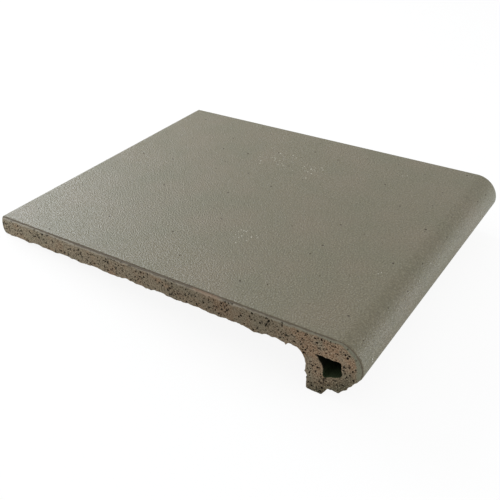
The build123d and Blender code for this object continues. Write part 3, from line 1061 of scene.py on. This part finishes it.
def scuff_flecks(tree, at, sheet):
    """How much of a point is a loose pale fleck. Flecks are thickest in the middle of each scuff."""
    rubbed = 0.0
    for *middle, reach_mm, crowd in SCUFFS:
        away = add_node(tree, "ShaderNodeVectorMath", {0: at["spot"], 1: middle}, operation="DISTANCE")
        near = add_node(tree, "ShaderNodeMapRange", {
            "Value": away.outputs["Value"], "From Min": reach_mm, "From Max": 0.0,
            "To Min": 0.0, "To Max": crowd})
        rubbed = add_node(tree, "ShaderNodeMath", {0: rubbed, 1: near}, operation="MAXIMUM")
    flecks = add_node(tree, "ShaderNodeTexVoronoi", {"Vector": sheet, "Scale": 1 / FLECK_CELL},
                      voronoi_dimensions="2D")
    lots = add_node(tree, "ShaderNodeSeparateColor", {"Color": flecks.outputs["Color"]}).outputs
    chosen = add_node(tree, "ShaderNodeMath", {0: lots["Red"], 1: rubbed}, operation="LESS_THAN")
    size = add_node(tree, "ShaderNodeMapRange", {
        "Value": lots["Green"],
        "To Min": SMALLEST_FLECK / FLECK_CELL, "To Max": LARGEST_FLECK / FLECK_CELL})
    edge = add_node(tree, "ShaderNodeMath", {0: size, 1: flecks.outputs["Distance"]}, operation="SUBTRACT")
    fleck = add_node(tree, "ShaderNodeMapRange", {
        "Value": edge, "From Min": FLECK_OUT / FLECK_CELL, "From Max": FLECK_IN / FLECK_CELL})
    return add_node(tree, "ShaderNodeMath", {0: fleck, 1: chosen}, operation="MULTIPLY")


print(f"{len(SCUFFS)} scuffs on the glaze")

# %% How glaze looks
GLAZE_WARM, GLAZE_GREEN, GLAZE_PALE = linear("#69604b"), linear("#625e48"), linear("#8b8570")
# The arris colour is partly bare clay where glaze drew back, partly painted shade of the rounding
GLAZE_DEEP, BARE_AND_SHADED_ARRIS = linear("#4a4431"), linear("#52483a")
IRON_SPECK, SCUFF = linear("#241300"), linear("#cfcdc0")
CLOUD_SIZE, GRAIN_SIZE, PEEL_SIZE = 42.0, 1.3, 1.1     # millimetres
SMOOTHEST, ROUGHEST = 0.38, 0.5                        # roughness of a satin glaze


def glaze_look(tree, at):
    """Colour, roughness and height of the glaze."""
    cloud = add_node(tree, "ShaderNodeTexNoise", {
        "Vector": at["spot"], "Scale": 1 / CLOUD_SIZE, "Detail": 5.0})
    greener = add_node(tree, "ShaderNodeMapRange", {"Value": cloud, "From Min": 0.33, "From Max": 0.67})
    fine = add_node(tree, "ShaderNodeTexNoise", {
        "Vector": at["spot"], "Scale": 1 / GRAIN_SIZE, "Detail": 3.0})
    grainy = add_node(tree, "ShaderNodeMapRange", {
        "Value": fine, "From Min": 0.5, "From Max": 0.68, "To Min": 0.0, "To Max": 0.42})
    sunk = add_node(tree, "ShaderNodeMapRange", {
        "Value": fine, "From Min": 0.5, "From Max": 0.32, "To Min": 0.0, "To Max": 0.4})
    sheet = folded_sheet(tree, at)
    specks = iron_specks(tree, sheet)

    layers = [(greener, GLAZE_GREEN), (grainy, GLAZE_PALE), (sunk, GLAZE_DEEP)]
    layers += [(speck, IRON_SPECK) for speck in specks] + [(scuff_flecks(tree, at, sheet), SCUFF)]
    colour = GLAZE_WARM
    for share, layer in layers:
        colour = add_node(tree, "ShaderNodeMix", {"Factor": share, "A": colour, "B": layer}, data_type="RGBA")
    rough = add_node(tree, "ShaderNodeMapRange", {"Value": cloud, "To Min": SMOOTHEST, "To Max": ROUGHEST})
    for speck in specks:
        rough = add_node(tree, "ShaderNodeMath", {0: rough, 1: speck}, operation="MAXIMUM")
    peel = add_node(tree, "ShaderNodeTexNoise", {
        "Vector": at["spot"], "Scale": 1 / PEEL_SIZE, "Detail": 2.0})
    return colour, rough, peel


print("the glaze as linear light:", [round(c, 3) for c in GLAZE_WARM[:3]])

# %% [markdown]
# Fired clay
#
# Under the glaze is a stoneware body: local clays stiffened with grog, fired until they are almost
# glass. It is a warm brown with redder and greyer patches, mottled by grit down to a fraction of a
# millimetre, and quite dull. Shade is painted into its colour too: darker from the middle towards the
# leg, where the cut face gets less light, and darker low under the nose. One noise could give the
# mottling, but real clay is mixed and fired unevenly at several sizes, so each cause is a layer of its
# own, with its own size and colour.

# %% How clay looks
CLAY_BROWN, CLAY_RED, CLAY_GREY = linear("#897d6a"), linear("#92745b"), linear("#807a68")
GRIT_PALE, GRIT_DARK = linear("#a89c84"), linear("#4c402f")
# The last two colours are painted shade: low under the nose, and from the middle towards the leg
LOW_SHADE_CLAY, LEG_SHADE_CLAY = linear("#3f4233"), linear("#473f32")
RED_PATCH, GREY_PATCH, GRIT_SIZE = 11.0, 23.0, 0.9     # millimetres
# The last two strengths are those of the painted shade low under the nose and towards the leg
REDDEST, GREYEST, DEEPEST_LOW_SHADE, DEEPEST_LEG_SHADE = 0.8, 0.7, 0.9, 0.46
PALEST_GRIT, DARKEST_GRIT = 0.8, 0.85


def clay_look(tree, at, squeeze, boldness):
    """Colour, grit and painted shade of bare clay. A squeeze below 1 draws the grit out along the nose."""
    # Red patches gather towards the nose
    patches = add_node(tree, "ShaderNodeTexNoise", {
        "Vector": at["spot"], "Scale": 1 / RED_PATCH, "Detail": 2.0})
    to_nose = add_node(tree, "ShaderNodeMapRange", {
        "Value": at["u"], "From Min": 120.0, "From Max": 270.0, "To Min": -0.06, "To Max": 0.14})
    patches = add_node(tree, "ShaderNodeMath", {0: patches, 1: to_nose}, operation="ADD")
    redder = add_node(tree, "ShaderNodeMapRange", {
        "Value": patches, "From Min": 0.45, "From Max": 0.68,
        "To Min": 0.0, "To Max": REDDEST * boldness})
    greys = add_node(tree, "ShaderNodeTexNoise", {
        "Vector": at["spot"], "Scale": 1 / GREY_PATCH, "Detail": 2.0}, noise_dimensions="4D")
    greyer = add_node(tree, "ShaderNodeMapRange", {
        "Value": greys, "From Min": 0.45, "From Max": 0.65,
        "To Min": 0.0, "To Max": GREYEST * boldness})

    # Painted shade: darker low under the nose, and from the middle towards the leg, where less light falls
    under_nose = add_node(tree, "ShaderNodeMapRange", {
        "Value": at["u"], "From Min": 258.0, "From Max": 286.0, "To Min": -7.0, "To Max": 14.0})
    low = add_node(tree, "ShaderNodeMath", {0: under_nose, 1: at["v"]}, operation="SUBTRACT")
    low = add_node(tree, "ShaderNodeMapRange", {
        "Value": low, "From Min": 30.0, "From Max": 44.0,
        "To Min": 0.0, "To Max": DEEPEST_LOW_SHADE * boldness})
    rising = add_node(tree, "ShaderNodeMapRange", {
        "Value": at["u"], "From Min": 0.0, "From Max": 190.0,
        "To Min": 0.0, "To Max": DEEPEST_LEG_SHADE * boldness})
    falling = add_node(tree, "ShaderNodeMapRange", {
        "Value": at["u"], "From Min": 232.0, "From Max": 272.0, "To Min": 1.0, "To Max": 0.45})
    leg_shade = add_node(tree, "ShaderNodeMath", {0: rising, 1: falling}, operation="MULTIPLY")

    # Grit is pale where the noise is high and dark where it is low
    spot = add_node(tree, "ShaderNodeVectorMath", {
        0: at["spot"], 1: (1.0, squeeze, 1.0)}, operation="MULTIPLY")
    grit_noise = add_node(tree, "ShaderNodeTexNoise", {
        "Vector": spot, "Scale": 1 / GRIT_SIZE, "Detail": 2.0})
    pale = add_node(tree, "ShaderNodeMapRange", {
        "Value": grit_noise, "From Min": 0.52, "From Max": 0.68,
        "To Min": 0.0, "To Max": PALEST_GRIT * boldness})
    dark = add_node(tree, "ShaderNodeMapRange", {
        "Value": grit_noise, "From Min": 0.48, "From Max": 0.33,
        "To Min": 0.0, "To Max": DARKEST_GRIT * boldness})
    colour = CLAY_BROWN
    # Of these layers, the low one and the last are painted shade
    for share, layer in ((redder, CLAY_RED), (greyer, CLAY_GREY), (low, LOW_SHADE_CLAY), (pale, GRIT_PALE),
                         (dark, GRIT_DARK), (leg_shade, LEG_SHADE_CLAY)):
        colour = add_node(tree, "ShaderNodeMix", {"Factor": share, "A": colour, "B": layer}, data_type="RGBA")
    return colour, grit_noise


print("the clay as linear light:", [round(c, 3) for c in CLAY_BROWN[:3]])

# %% [markdown]
# Three materials out of two looks
#
# Glaze and clay meet in three ways, and each is a material of its own. The tread and nose are glaze
# all over, worn thin at the arris, where painted shade darkens it too. The cut ends are clay, with a
# band along the top where glaze ran over the arris and painted shade in the pores. The underside, the
# leg and the hollow are clay that slid along the die, with its patterns drawn out along the nose and a
# little stray glaze at its borders, and the hollow is painted dark as shade.
# One material with masks for everything could do it too, but three short ones are easier to follow.

# %% Start a material and finish it
GLASSY = 1.5         # IOR of glaze and of fired clay


def shader_of(material):
    """The node tree of a material and its one shader, with everything else cleared away."""
    material.use_nodes = True
    tree = material.node_tree
    tree.nodes.clear()
    shader = add_node(tree, "ShaderNodeBsdfPrincipled", {"IOR": GLASSY})
    add_node(tree, "ShaderNodeOutputMaterial", {"Surface": shader})
    return tree, shader


def connect(tree, shader, colour, rough, height, relief_mm):
    """Give the shader its colour, its roughness, and a bump as high as the relief in millimetres."""
    bump = add_node(tree, "ShaderNodeBump", {"Strength": 1.0, "Distance": relief_mm * MM, "Height": height})
    tree.links.new(bump.outputs["Normal"], shader.inputs["Normal"])
    tree.links.new(next(s for s in colour.outputs if s.enabled), shader.inputs["Base Color"])
    if isinstance(rough, float):
        shader.inputs["Roughness"].default_value = rough
    else:
        tree.links.new(rough.outputs[0], shader.inputs["Roughness"])


# %% Satin glaze on the tread and nose
PEEL_HEIGHT = 0.65   # millimetres, coarser than real orange peel so that it shows in the render

tree, shader = shader_of(glaze)
at = on_tile(tree)
colour, rough, peel = glaze_look(tree, at)
# Dark line along the arris: partly bare clay, partly painted shade
worn_and_shaded = arris_line(tree, at)
colour = add_node(tree, "ShaderNodeMix", {"Factor": worn_and_shaded, "A": colour, "B": BARE_AND_SHADED_ARRIS}, data_type="RGBA")
rough = add_node(tree, "ShaderNodeMath", {0: rough, 1: worn_and_shaded}, operation="MAXIMUM")
connect(tree, shader, colour, rough, peel, PEEL_HEIGHT)
print(f"satin glaze: {len(tree.nodes)} nodes")

# %% [markdown]
# The pores of the cut face
#
# The wire tore pores of every size. The larger ones are real pits, made with the cut ends, and get
# painted shade inside, for which each vertex carries how deep in a pit it lies. The smallest are finer
# than the mesh, so only their shade is painted: round pin pores from a Voronoi pattern, and crumbly
# patches from the high parts of a noise, where many ragged pores lie together.

# %% Painted shade in pits, pin pores and crumbly patches
# Painted shade: the near-black of pits, pin pores and crumbly patches
PORE_SHADE = linear("#0d0a03")
PIN_SPACING, PINS_LEFT_OUT, PIN_DARKNESS = 1.9, 0.6, 0.85
CRUMB_PATCH, CRUMB_SIZE, CRUMB_DARKNESS = 13.0, 1.6, 0.9      # the first two in millimetres

tree, shader = shader_of(cut_clay)
at = on_tile(tree)
colour, grit_noise = clay_look(tree, at, 1.0, 1.0)

pit = add_node(tree, "ShaderNodeAttribute", attribute_name="pit").outputs["Fac"]
pit = add_node(tree, "ShaderNodeMapRange", {"Value": pit, "From Min": 0.1, "From Max": 0.5})
pins = add_node(tree, "ShaderNodeTexVoronoi", {"Vector": at["spot"], "Scale": 1 / PIN_SPACING})
lot = add_node(tree, "ShaderNodeSeparateColor", {"Color": pins.outputs["Color"]}).outputs["Red"]
pin_pore = add_node(tree, "ShaderNodeMapRange", {
    "Value": pins.outputs["Distance"], "From Min": 0.26, "From Max": 0.14,
    "To Min": 0.0, "To Max": PIN_DARKNESS})
some = add_node(tree, "ShaderNodeMath", {0: lot, 1: PINS_LEFT_OUT}, operation="GREATER_THAN")
pin_pore = add_node(tree, "ShaderNodeMath", {0: pin_pore, 1: some}, operation="MULTIPLY")
# All the painted shade of the pores, gathered into one mask
pore_shade = add_node(tree, "ShaderNodeMath", {0: pit, 1: pin_pore}, operation="MAXIMUM")

crumbly = add_node(tree, "ShaderNodeTexNoise", {
    "Vector": at["spot"], "Scale": 1 / CRUMB_PATCH, "Detail": 1.0})
crumbly = add_node(tree, "ShaderNodeMapRange", {
    "Value": crumbly, "From Min": 0.4, "From Max": 0.65, "To Min": 0.0, "To Max": 0.08})
crumbs = add_node(tree, "ShaderNodeTexNoise", {
    "Vector": at["spot"], "Scale": 1 / CRUMB_SIZE, "Detail": 2.0, "W": 3.0}, noise_dimensions="4D")
at_rear = add_node(tree, "ShaderNodeMapRange", {
    "Value": at["u"], "From Min": 40.0, "From Max": 80.0, "To Min": 0.05, "To Max": 0.0})
crumbs = add_node(tree, "ShaderNodeMath", {0: crumbs, 1: crumbly}, operation="ADD")
crumbs = add_node(tree, "ShaderNodeMath", {0: crumbs, 1: at_rear}, operation="ADD")
crumbs = add_node(tree, "ShaderNodeMapRange", {
    "Value": crumbs, "From Min": 0.65, "From Max": 0.7, "To Min": 0.0, "To Max": CRUMB_DARKNESS})
pore_shade = add_node(tree, "ShaderNodeMath", {0: pore_shade, 1: crumbs}, operation="MAXIMUM")
print(f"pores of the cut face: {len(tree.nodes)} nodes so far")

# %% [markdown]
# The glaze that ran over
#
# Sprayed glaze doesn't stop at an edge. A thin band of it ran over the arris on to the cut, three
# millimetres deep along the tread and more round the nose, with a ragged lower edge. It is paler over
# the rear part, darker and greener at the nose, and so thin in one place that red clay shows through.
# A strip of mesh would be too thick for it, so it is a mask by depth under the glazed outline.

# %% A band of glaze with a ragged edge
RUN_LEFT, RUN_MIDDLE, RUN_NOSE = linear("#908979"), linear("#888070"), linear("#686653")
THIN_GLAZE, RED_THROUGH = (186.0, -WIDTH / 2, -1.5), linear("#8f7259")
RUN_DEPTH, RUN_DEPTH_AT_NOSE = 3.0, 4.6                       # millimetres
RAGGED_SIZE, RAGGED_DEPTH = 5.0, 1.6
RUN_OUT, RUN_IN = -0.9, 0.8                                   # its edge fades between these
RUN_GONE_V, RUN_WHOLE_V = -28.0, -22.0                        # and under the nose between these
THIN_REACH, THIN_WHOLE, THIN_STRENGTH = 13.0, 8.0, 0.5

reach_of_run = add_node(tree, "ShaderNodeMapRange", {
    "Value": at["u"], "From Min": 282.0, "From Max": 293.0,
    "To Min": RUN_DEPTH, "To Max": RUN_DEPTH_AT_NOSE})
ragged = add_node(tree, "ShaderNodeTexNoise", {
    "Vector": at["spot"], "Scale": 1 / RAGGED_SIZE, "Detail": 3.0})
ragged = add_node(tree, "ShaderNodeMapRange", {
    "Value": ragged, "To Min": -RAGGED_DEPTH, "To Max": RAGGED_DEPTH})
depth_there = add_node(tree, "ShaderNodeMath", {
    0: depth_under_glaze(tree, at), 1: ragged}, operation="ADD")
inside_run = add_node(tree, "ShaderNodeMath", {0: reach_of_run, 1: depth_there}, operation="SUBTRACT")
run = add_node(tree, "ShaderNodeMapRange", {"Value": inside_run, "From Min": RUN_OUT, "From Max": RUN_IN})
below_nose = add_node(tree, "ShaderNodeMapRange", {
    "Value": at["v"], "From Min": RUN_GONE_V, "From Max": RUN_WHOLE_V})
run = add_node(tree, "ShaderNodeMath", {0: run, 1: below_nose}, operation="MULTIPLY")
run_colour = RUN_LEFT
for start, end, layer in ((35.0, 80.0, RUN_MIDDLE), (190.0, 288.0, RUN_NOSE)):
    share = add_node(tree, "ShaderNodeMapRange", {"Value": at["u"], "From Min": start, "From Max": end})
    run_colour = add_node(tree, "ShaderNodeMix", {
        "Factor": share, "A": run_colour, "B": layer}, data_type="RGBA")
from_thin = add_node(tree, "ShaderNodeVectorMath", {0: at["spot"], 1: THIN_GLAZE}, operation="DISTANCE")
thin = add_node(tree, "ShaderNodeMapRange", {
    "Value": from_thin.outputs["Value"], "From Min": THIN_REACH, "From Max": THIN_WHOLE,
    "To Min": 0.0, "To Max": THIN_STRENGTH})
thin = add_node(tree, "ShaderNodeMath", {0: thin, 1: run}, operation="MULTIPLY")
print(f"with the glaze that ran over: {len(tree.nodes)} nodes")

# %% All layers of the cut face
CLAY_ROUGHNESS, RUN_ROUGHNESS = 0.9, 0.5
CLAY_SHINE, RUN_SHINE = 0.12, 0.4      # open clay has hardly any sheen, and a full one greyed its pores
CUT_GRIT_HEIGHT = 0.12                 # millimetres

# The first layer is the painted shade of the pores
for share, layer in ((pore_shade, PORE_SHADE), (run, run_colour), (arris_line(tree, at), BARE_AND_SHADED_ARRIS),
                     (thin, RED_THROUGH)):
    colour = add_node(tree, "ShaderNodeMix", {"Factor": share, "A": colour, "B": layer}, data_type="RGBA")
rough = add_node(tree, "ShaderNodeMapRange", {
    "Value": run, "To Min": CLAY_ROUGHNESS, "To Max": RUN_ROUGHNESS})
shine = add_node(tree, "ShaderNodeMapRange", {"Value": run, "To Min": CLAY_SHINE, "To Max": RUN_SHINE})
tree.links.new(shine.outputs[0], shader.inputs["Specular IOR Level"])
connect(tree, shader, colour, rough, grit_noise, CUT_GRIT_HEIGHT)
print(f"wire cut clay: {len(tree.nodes)} nodes")

# %% [markdown]
# Clay skin, the hollow and the grog
#
# The die polished the clay that slid along it, so it has no pores, and its grit is drawn out into
# streaks. Stray glaze fades out over its borders. Shade is painted in the hollow: nearly black a
# little way in, and lighter and grey-green on the floor near each mouth, where light comes in.
# The grog is clay that was fired before, crushed, and so harder and duller than the rest.

# %% Clay skin with stray glaze at its borders
DRAWN_OUT, FAINTER = 0.2, 0.5          # grit is five times longer along the nose, and half as strong
STRAY_SIZE, STRAY = 4.0, 4.0           # millimetres: size of the strays, and how far they reach

tree, shader = shader_of(die_clay)
at = on_tile(tree)
colour, grit_noise = clay_look(tree, at, DRAWN_OUT, FAINTER)
glaze_colour, _, _ = glaze_look(tree, at)
stray = add_node(tree, "ShaderNodeTexNoise", {
    "Vector": at["spot"], "Scale": 1 / STRAY_SIZE, "Detail": 3.0})
stray = add_node(tree, "ShaderNodeMapRange", {"Value": stray, "To Min": -STRAY, "To Max": STRAY})
height_there = add_node(tree, "ShaderNodeMath", {0: at["v"], 1: stray}, operation="ADD")
rear_limit = add_node(tree, "ShaderNodeMapRange", {"Value": height_there, "From Min": -5.0, "From Max": -3.5})
front_limit = add_node(tree, "ShaderNodeMapRange", {
    "Value": height_there, "From Min": -27.0, "From Max": -25.0})
at_front = add_node(tree, "ShaderNodeMath", {0: at["u"], 1: GLAZE_FRONT_U}, operation="GREATER_THAN")
front_limit = add_node(tree, "ShaderNodeMath", {0: front_limit, 1: at_front}, operation="MULTIPLY")
sprayed = add_node(tree, "ShaderNodeMath", {0: rear_limit, 1: front_limit}, operation="MAXIMUM")
print(f"clay skin with stray glaze: {len(tree.nodes)} nodes")

# %% Painted shade in the hollow, lighter on the floor near each mouth
# Painted shade: nearly black inside the hollow, and lighter and grey-green on its floor near each mouth,
# where light comes in
SHADE_IN_HOLLOW, LIGHTER_MOUTH_FLOOR = linear("#030b02"), linear("#2c3623")
HOLLOW_REACH = 13.0                    # millimetres from its middle to its furthest corner
SHADE_FROM, SHADE_FULL, SHADE_DARKNESS = 0.05, 0.9, 0.97      # the first two in millimetres
MOUTH_LIGHT_REACH = 22.0                       # how far in from each mouth the floor is painted lighter
SKIN_ROUGHNESS, SKIN_SHINE, SKIN_GRIT_HEIGHT = 0.85, 0.1, 0.1

middle_of_hollow = ((tip_u + brow_u) / 2, 0.0, -(ROOF_WALL + hollow_floor) / 2)
away = add_node(tree, "ShaderNodeVectorMath", {0: at["spot"], 1: middle_of_hollow}, operation="SUBTRACT")
away = add_node(tree, "ShaderNodeVectorMath", {0: away, 1: (1.0, 0.0, 1.0)}, operation="MULTIPLY")
away = add_node(tree, "ShaderNodeVectorMath", {0: away}, operation="LENGTH").outputs["Value"]
in_hollow = add_node(tree, "ShaderNodeMath", {0: away, 1: HOLLOW_REACH}, operation="LESS_THAN")
from_middle = add_node(tree, "ShaderNodeMath", {0: at["y"]}, operation="ABSOLUTE")
# The walls are painted nearly black as shade from a little way in
hollow_shade = add_node(tree, "ShaderNodeMapRange", {
    "Value": from_middle, "From Min": WIDTH / 2 - SHADE_FROM, "From Max": WIDTH / 2 - SHADE_FULL,
    "To Min": 0.0, "To Max": SHADE_DARKNESS})
hollow_shade = add_node(tree, "ShaderNodeMath", {0: hollow_shade, 1: in_hollow}, operation="MULTIPLY")
on_floor = add_node(tree, "ShaderNodeMapRange", {"Value": at["v"], "From Min": -25.0, "From Max": -28.0})
near_mouth = add_node(tree, "ShaderNodeMapRange", {
    "Value": from_middle, "From Min": WIDTH / 2 - MOUTH_LIGHT_REACH, "From Max": WIDTH / 2})
# The floor near each mouth is painted lighter, where light comes in
mouth_floor_light = add_node(tree, "ShaderNodeMath", {0: on_floor, 1: near_mouth}, operation="MULTIPLY")
mouth_floor_light = add_node(tree, "ShaderNodeMath", {0: mouth_floor_light, 1: in_hollow}, operation="MULTIPLY")
for share, layer in ((sprayed, glaze_colour), (hollow_shade, SHADE_IN_HOLLOW), (mouth_floor_light, LIGHTER_MOUTH_FLOOR)):
    colour = add_node(tree, "ShaderNodeMix", {"Factor": share, "A": colour, "B": layer}, data_type="RGBA")
connect(tree, shader, colour, SKIN_ROUGHNESS, grit_noise, SKIN_GRIT_HEIGHT)
shader.inputs["Specular IOR Level"].default_value = SKIN_SHINE
print(f"die skin clay: {len(tree.nodes)} nodes")

# %% Crushed grog
GROG_PALE, GROG_BROWN = linear("#8f8371"), linear("#7a6553")
GROG_PATCH, GROG_ROUGHNESS, GROG_HEIGHT = 2.5, 0.8, 0.05      # the first and the last in millimetres

tree, shader = shader_of(grit)
at = on_tile(tree)
lots = add_node(tree, "ShaderNodeTexNoise", {"Vector": at["spot"], "Scale": 1 / GROG_PATCH, "Detail": 1.0})
browner = add_node(tree, "ShaderNodeMapRange", {"Value": lots, "From Min": 0.4, "From Max": 0.6})
colour = add_node(tree, "ShaderNodeMix", {
    "Factor": browner, "A": GROG_PALE, "B": GROG_BROWN}, data_type="RGBA")
connect(tree, shader, colour, GROG_ROUGHNESS, lots, GROG_HEIGHT)
print(f"crushed grog: {len(tree.nodes)} nodes")

# %% [markdown]
# Floor, daylight and lamps
#
# The tile lies on plain white card in soft studio light. The world is white for the camera and for
# reflections, and a little weaker as light. A wide lamp overhead, a fill from the front and one past
# the nose lift the shadows. A low soft box behind the left corner draws the pale sheen over the left
# part of the tread, because satin glaze reflects most strongly at a glancing angle.

# %% Floor of white card
FLOOR_HALF = 4.0           # metres
PLAIN_WHITE = 0.9          # how much of the card the camera sees as plain white

floor_mesh = bpy.data.meshes.new("white_card")
corners = [(x * FLOOR_HALF, y * FLOOR_HALF, 0) for x, y in ((-1, -1), (1, -1), (1, 1), (-1, 1))]
floor_mesh.from_pydata(corners, [], [(0, 1, 2, 3)])
floor = bpy.data.objects.new("white_card", floor_mesh)
bpy.context.scene.collection.objects.link(floor)
card = bpy.data.materials.new("white card")
tree, shader = shader_of(card)
shader.inputs["Base Color"].default_value = linear("#ffffff")
shader.inputs["Roughness"].default_value = 1.0
shader.inputs["Specular IOR Level"].default_value = 0.0
floor_mesh.materials.append(card)

# Seen by the camera, the card is mostly plain white, so that the tile's shadow on it stays faint
rays = add_node(tree, "ShaderNodeLightPath").outputs
whiteness = add_node(tree, "ShaderNodeMath", {
    0: rays["Is Camera Ray"], 1: PLAIN_WHITE}, operation="MULTIPLY")
plain_white = add_node(tree, "ShaderNodeEmission", {"Color": (1, 1, 1, 1), "Strength": 1.0})
both = add_node(tree, "ShaderNodeMixShader", {0: whiteness, 1: shader, 2: plain_white})
tree.links.new(both.outputs[0], tree.nodes["Material Output"].inputs["Surface"])
print(f"card: {2 * FLOOR_HALF} m wide")

# %% White world
SKYLIGHT = 0.66            # how strongly the world lights, where 1 is what the camera sees

world = bpy.data.worlds.new("studio")
bpy.context.scene.world = world
world.use_nodes = True
tree = world.node_tree
tree.nodes.clear()
rays = add_node(tree, "ShaderNodeLightPath").outputs
seen = add_node(tree, "ShaderNodeMath", {
    0: rays["Is Camera Ray"], 1: rays["Is Glossy Ray"]}, operation="MAXIMUM")
seen = add_node(tree, "ShaderNodeMath", {0: seen, 1: rays["Is Transmission Ray"]}, operation="MAXIMUM")
strength = add_node(tree, "ShaderNodeMapRange", {"Value": seen, "To Min": SKYLIGHT, "To Max": 1.0})
sky = add_node(tree, "ShaderNodeBackground", {"Color": (1, 1, 1, 1), "Strength": strength})
add_node(tree, "ShaderNodeOutputWorld", {"Surface": sky})
print(f"world: {len(tree.nodes)} nodes")

# %% Four lamps
# Name, where it hangs, where it points, width, height, tint, and brightness where white paper gives 1
PAPER_WHITE, DAYLIGHT = (1.0, 1.0, 1.0), (0.88, 0.94, 1.0)
LAMPS = [
    ("overhead_lamp", (-0.3, -0.5, 1.25), (0, 0, 0), 1.0, 1.0, PAPER_WHITE, 0.5),
    ("low_soft_box", (-0.85, 0.13, 0.44), (-0.12, -0.05, 0.02), 0.55, 0.4, DAYLIGHT, 10.9),
    ("side_fill", (0.95, 0.35, 0.16), (0.1, 0.03, 0.03), 0.8, 0.3, DAYLIGHT, 5.4),
    ("front_fill", (-0.5, -0.9, 0.25), (-0.05, 0, 0.03), 0.8, 0.4, PAPER_WHITE, 1.2),
]
for name, hangs, points_at, wide, high, tint, bright in LAMPS:
    lamp_data = bpy.data.lights.new(name, "AREA")
    lamp_data.shape = "RECTANGLE"
    lamp_data.size, lamp_data.size_y = wide, high
    lamp_data.color = tint
    lamp_data.energy = bright * math.pi * wide * high
    lamp = bpy.data.objects.new(name, lamp_data)
    lamp.location = hangs
    lamp.rotation_euler = (Vector(points_at) - Vector(hangs)).to_track_quat("-Z", "Y").to_euler()
    bpy.context.scene.collection.objects.link(lamp)
bpy.context.scene.view_settings.view_transform = "Standard"
print(f"{len(LAMPS)} lamps")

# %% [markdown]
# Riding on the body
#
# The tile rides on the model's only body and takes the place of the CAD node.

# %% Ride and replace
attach(tile, "root")
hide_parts("tread_tile")
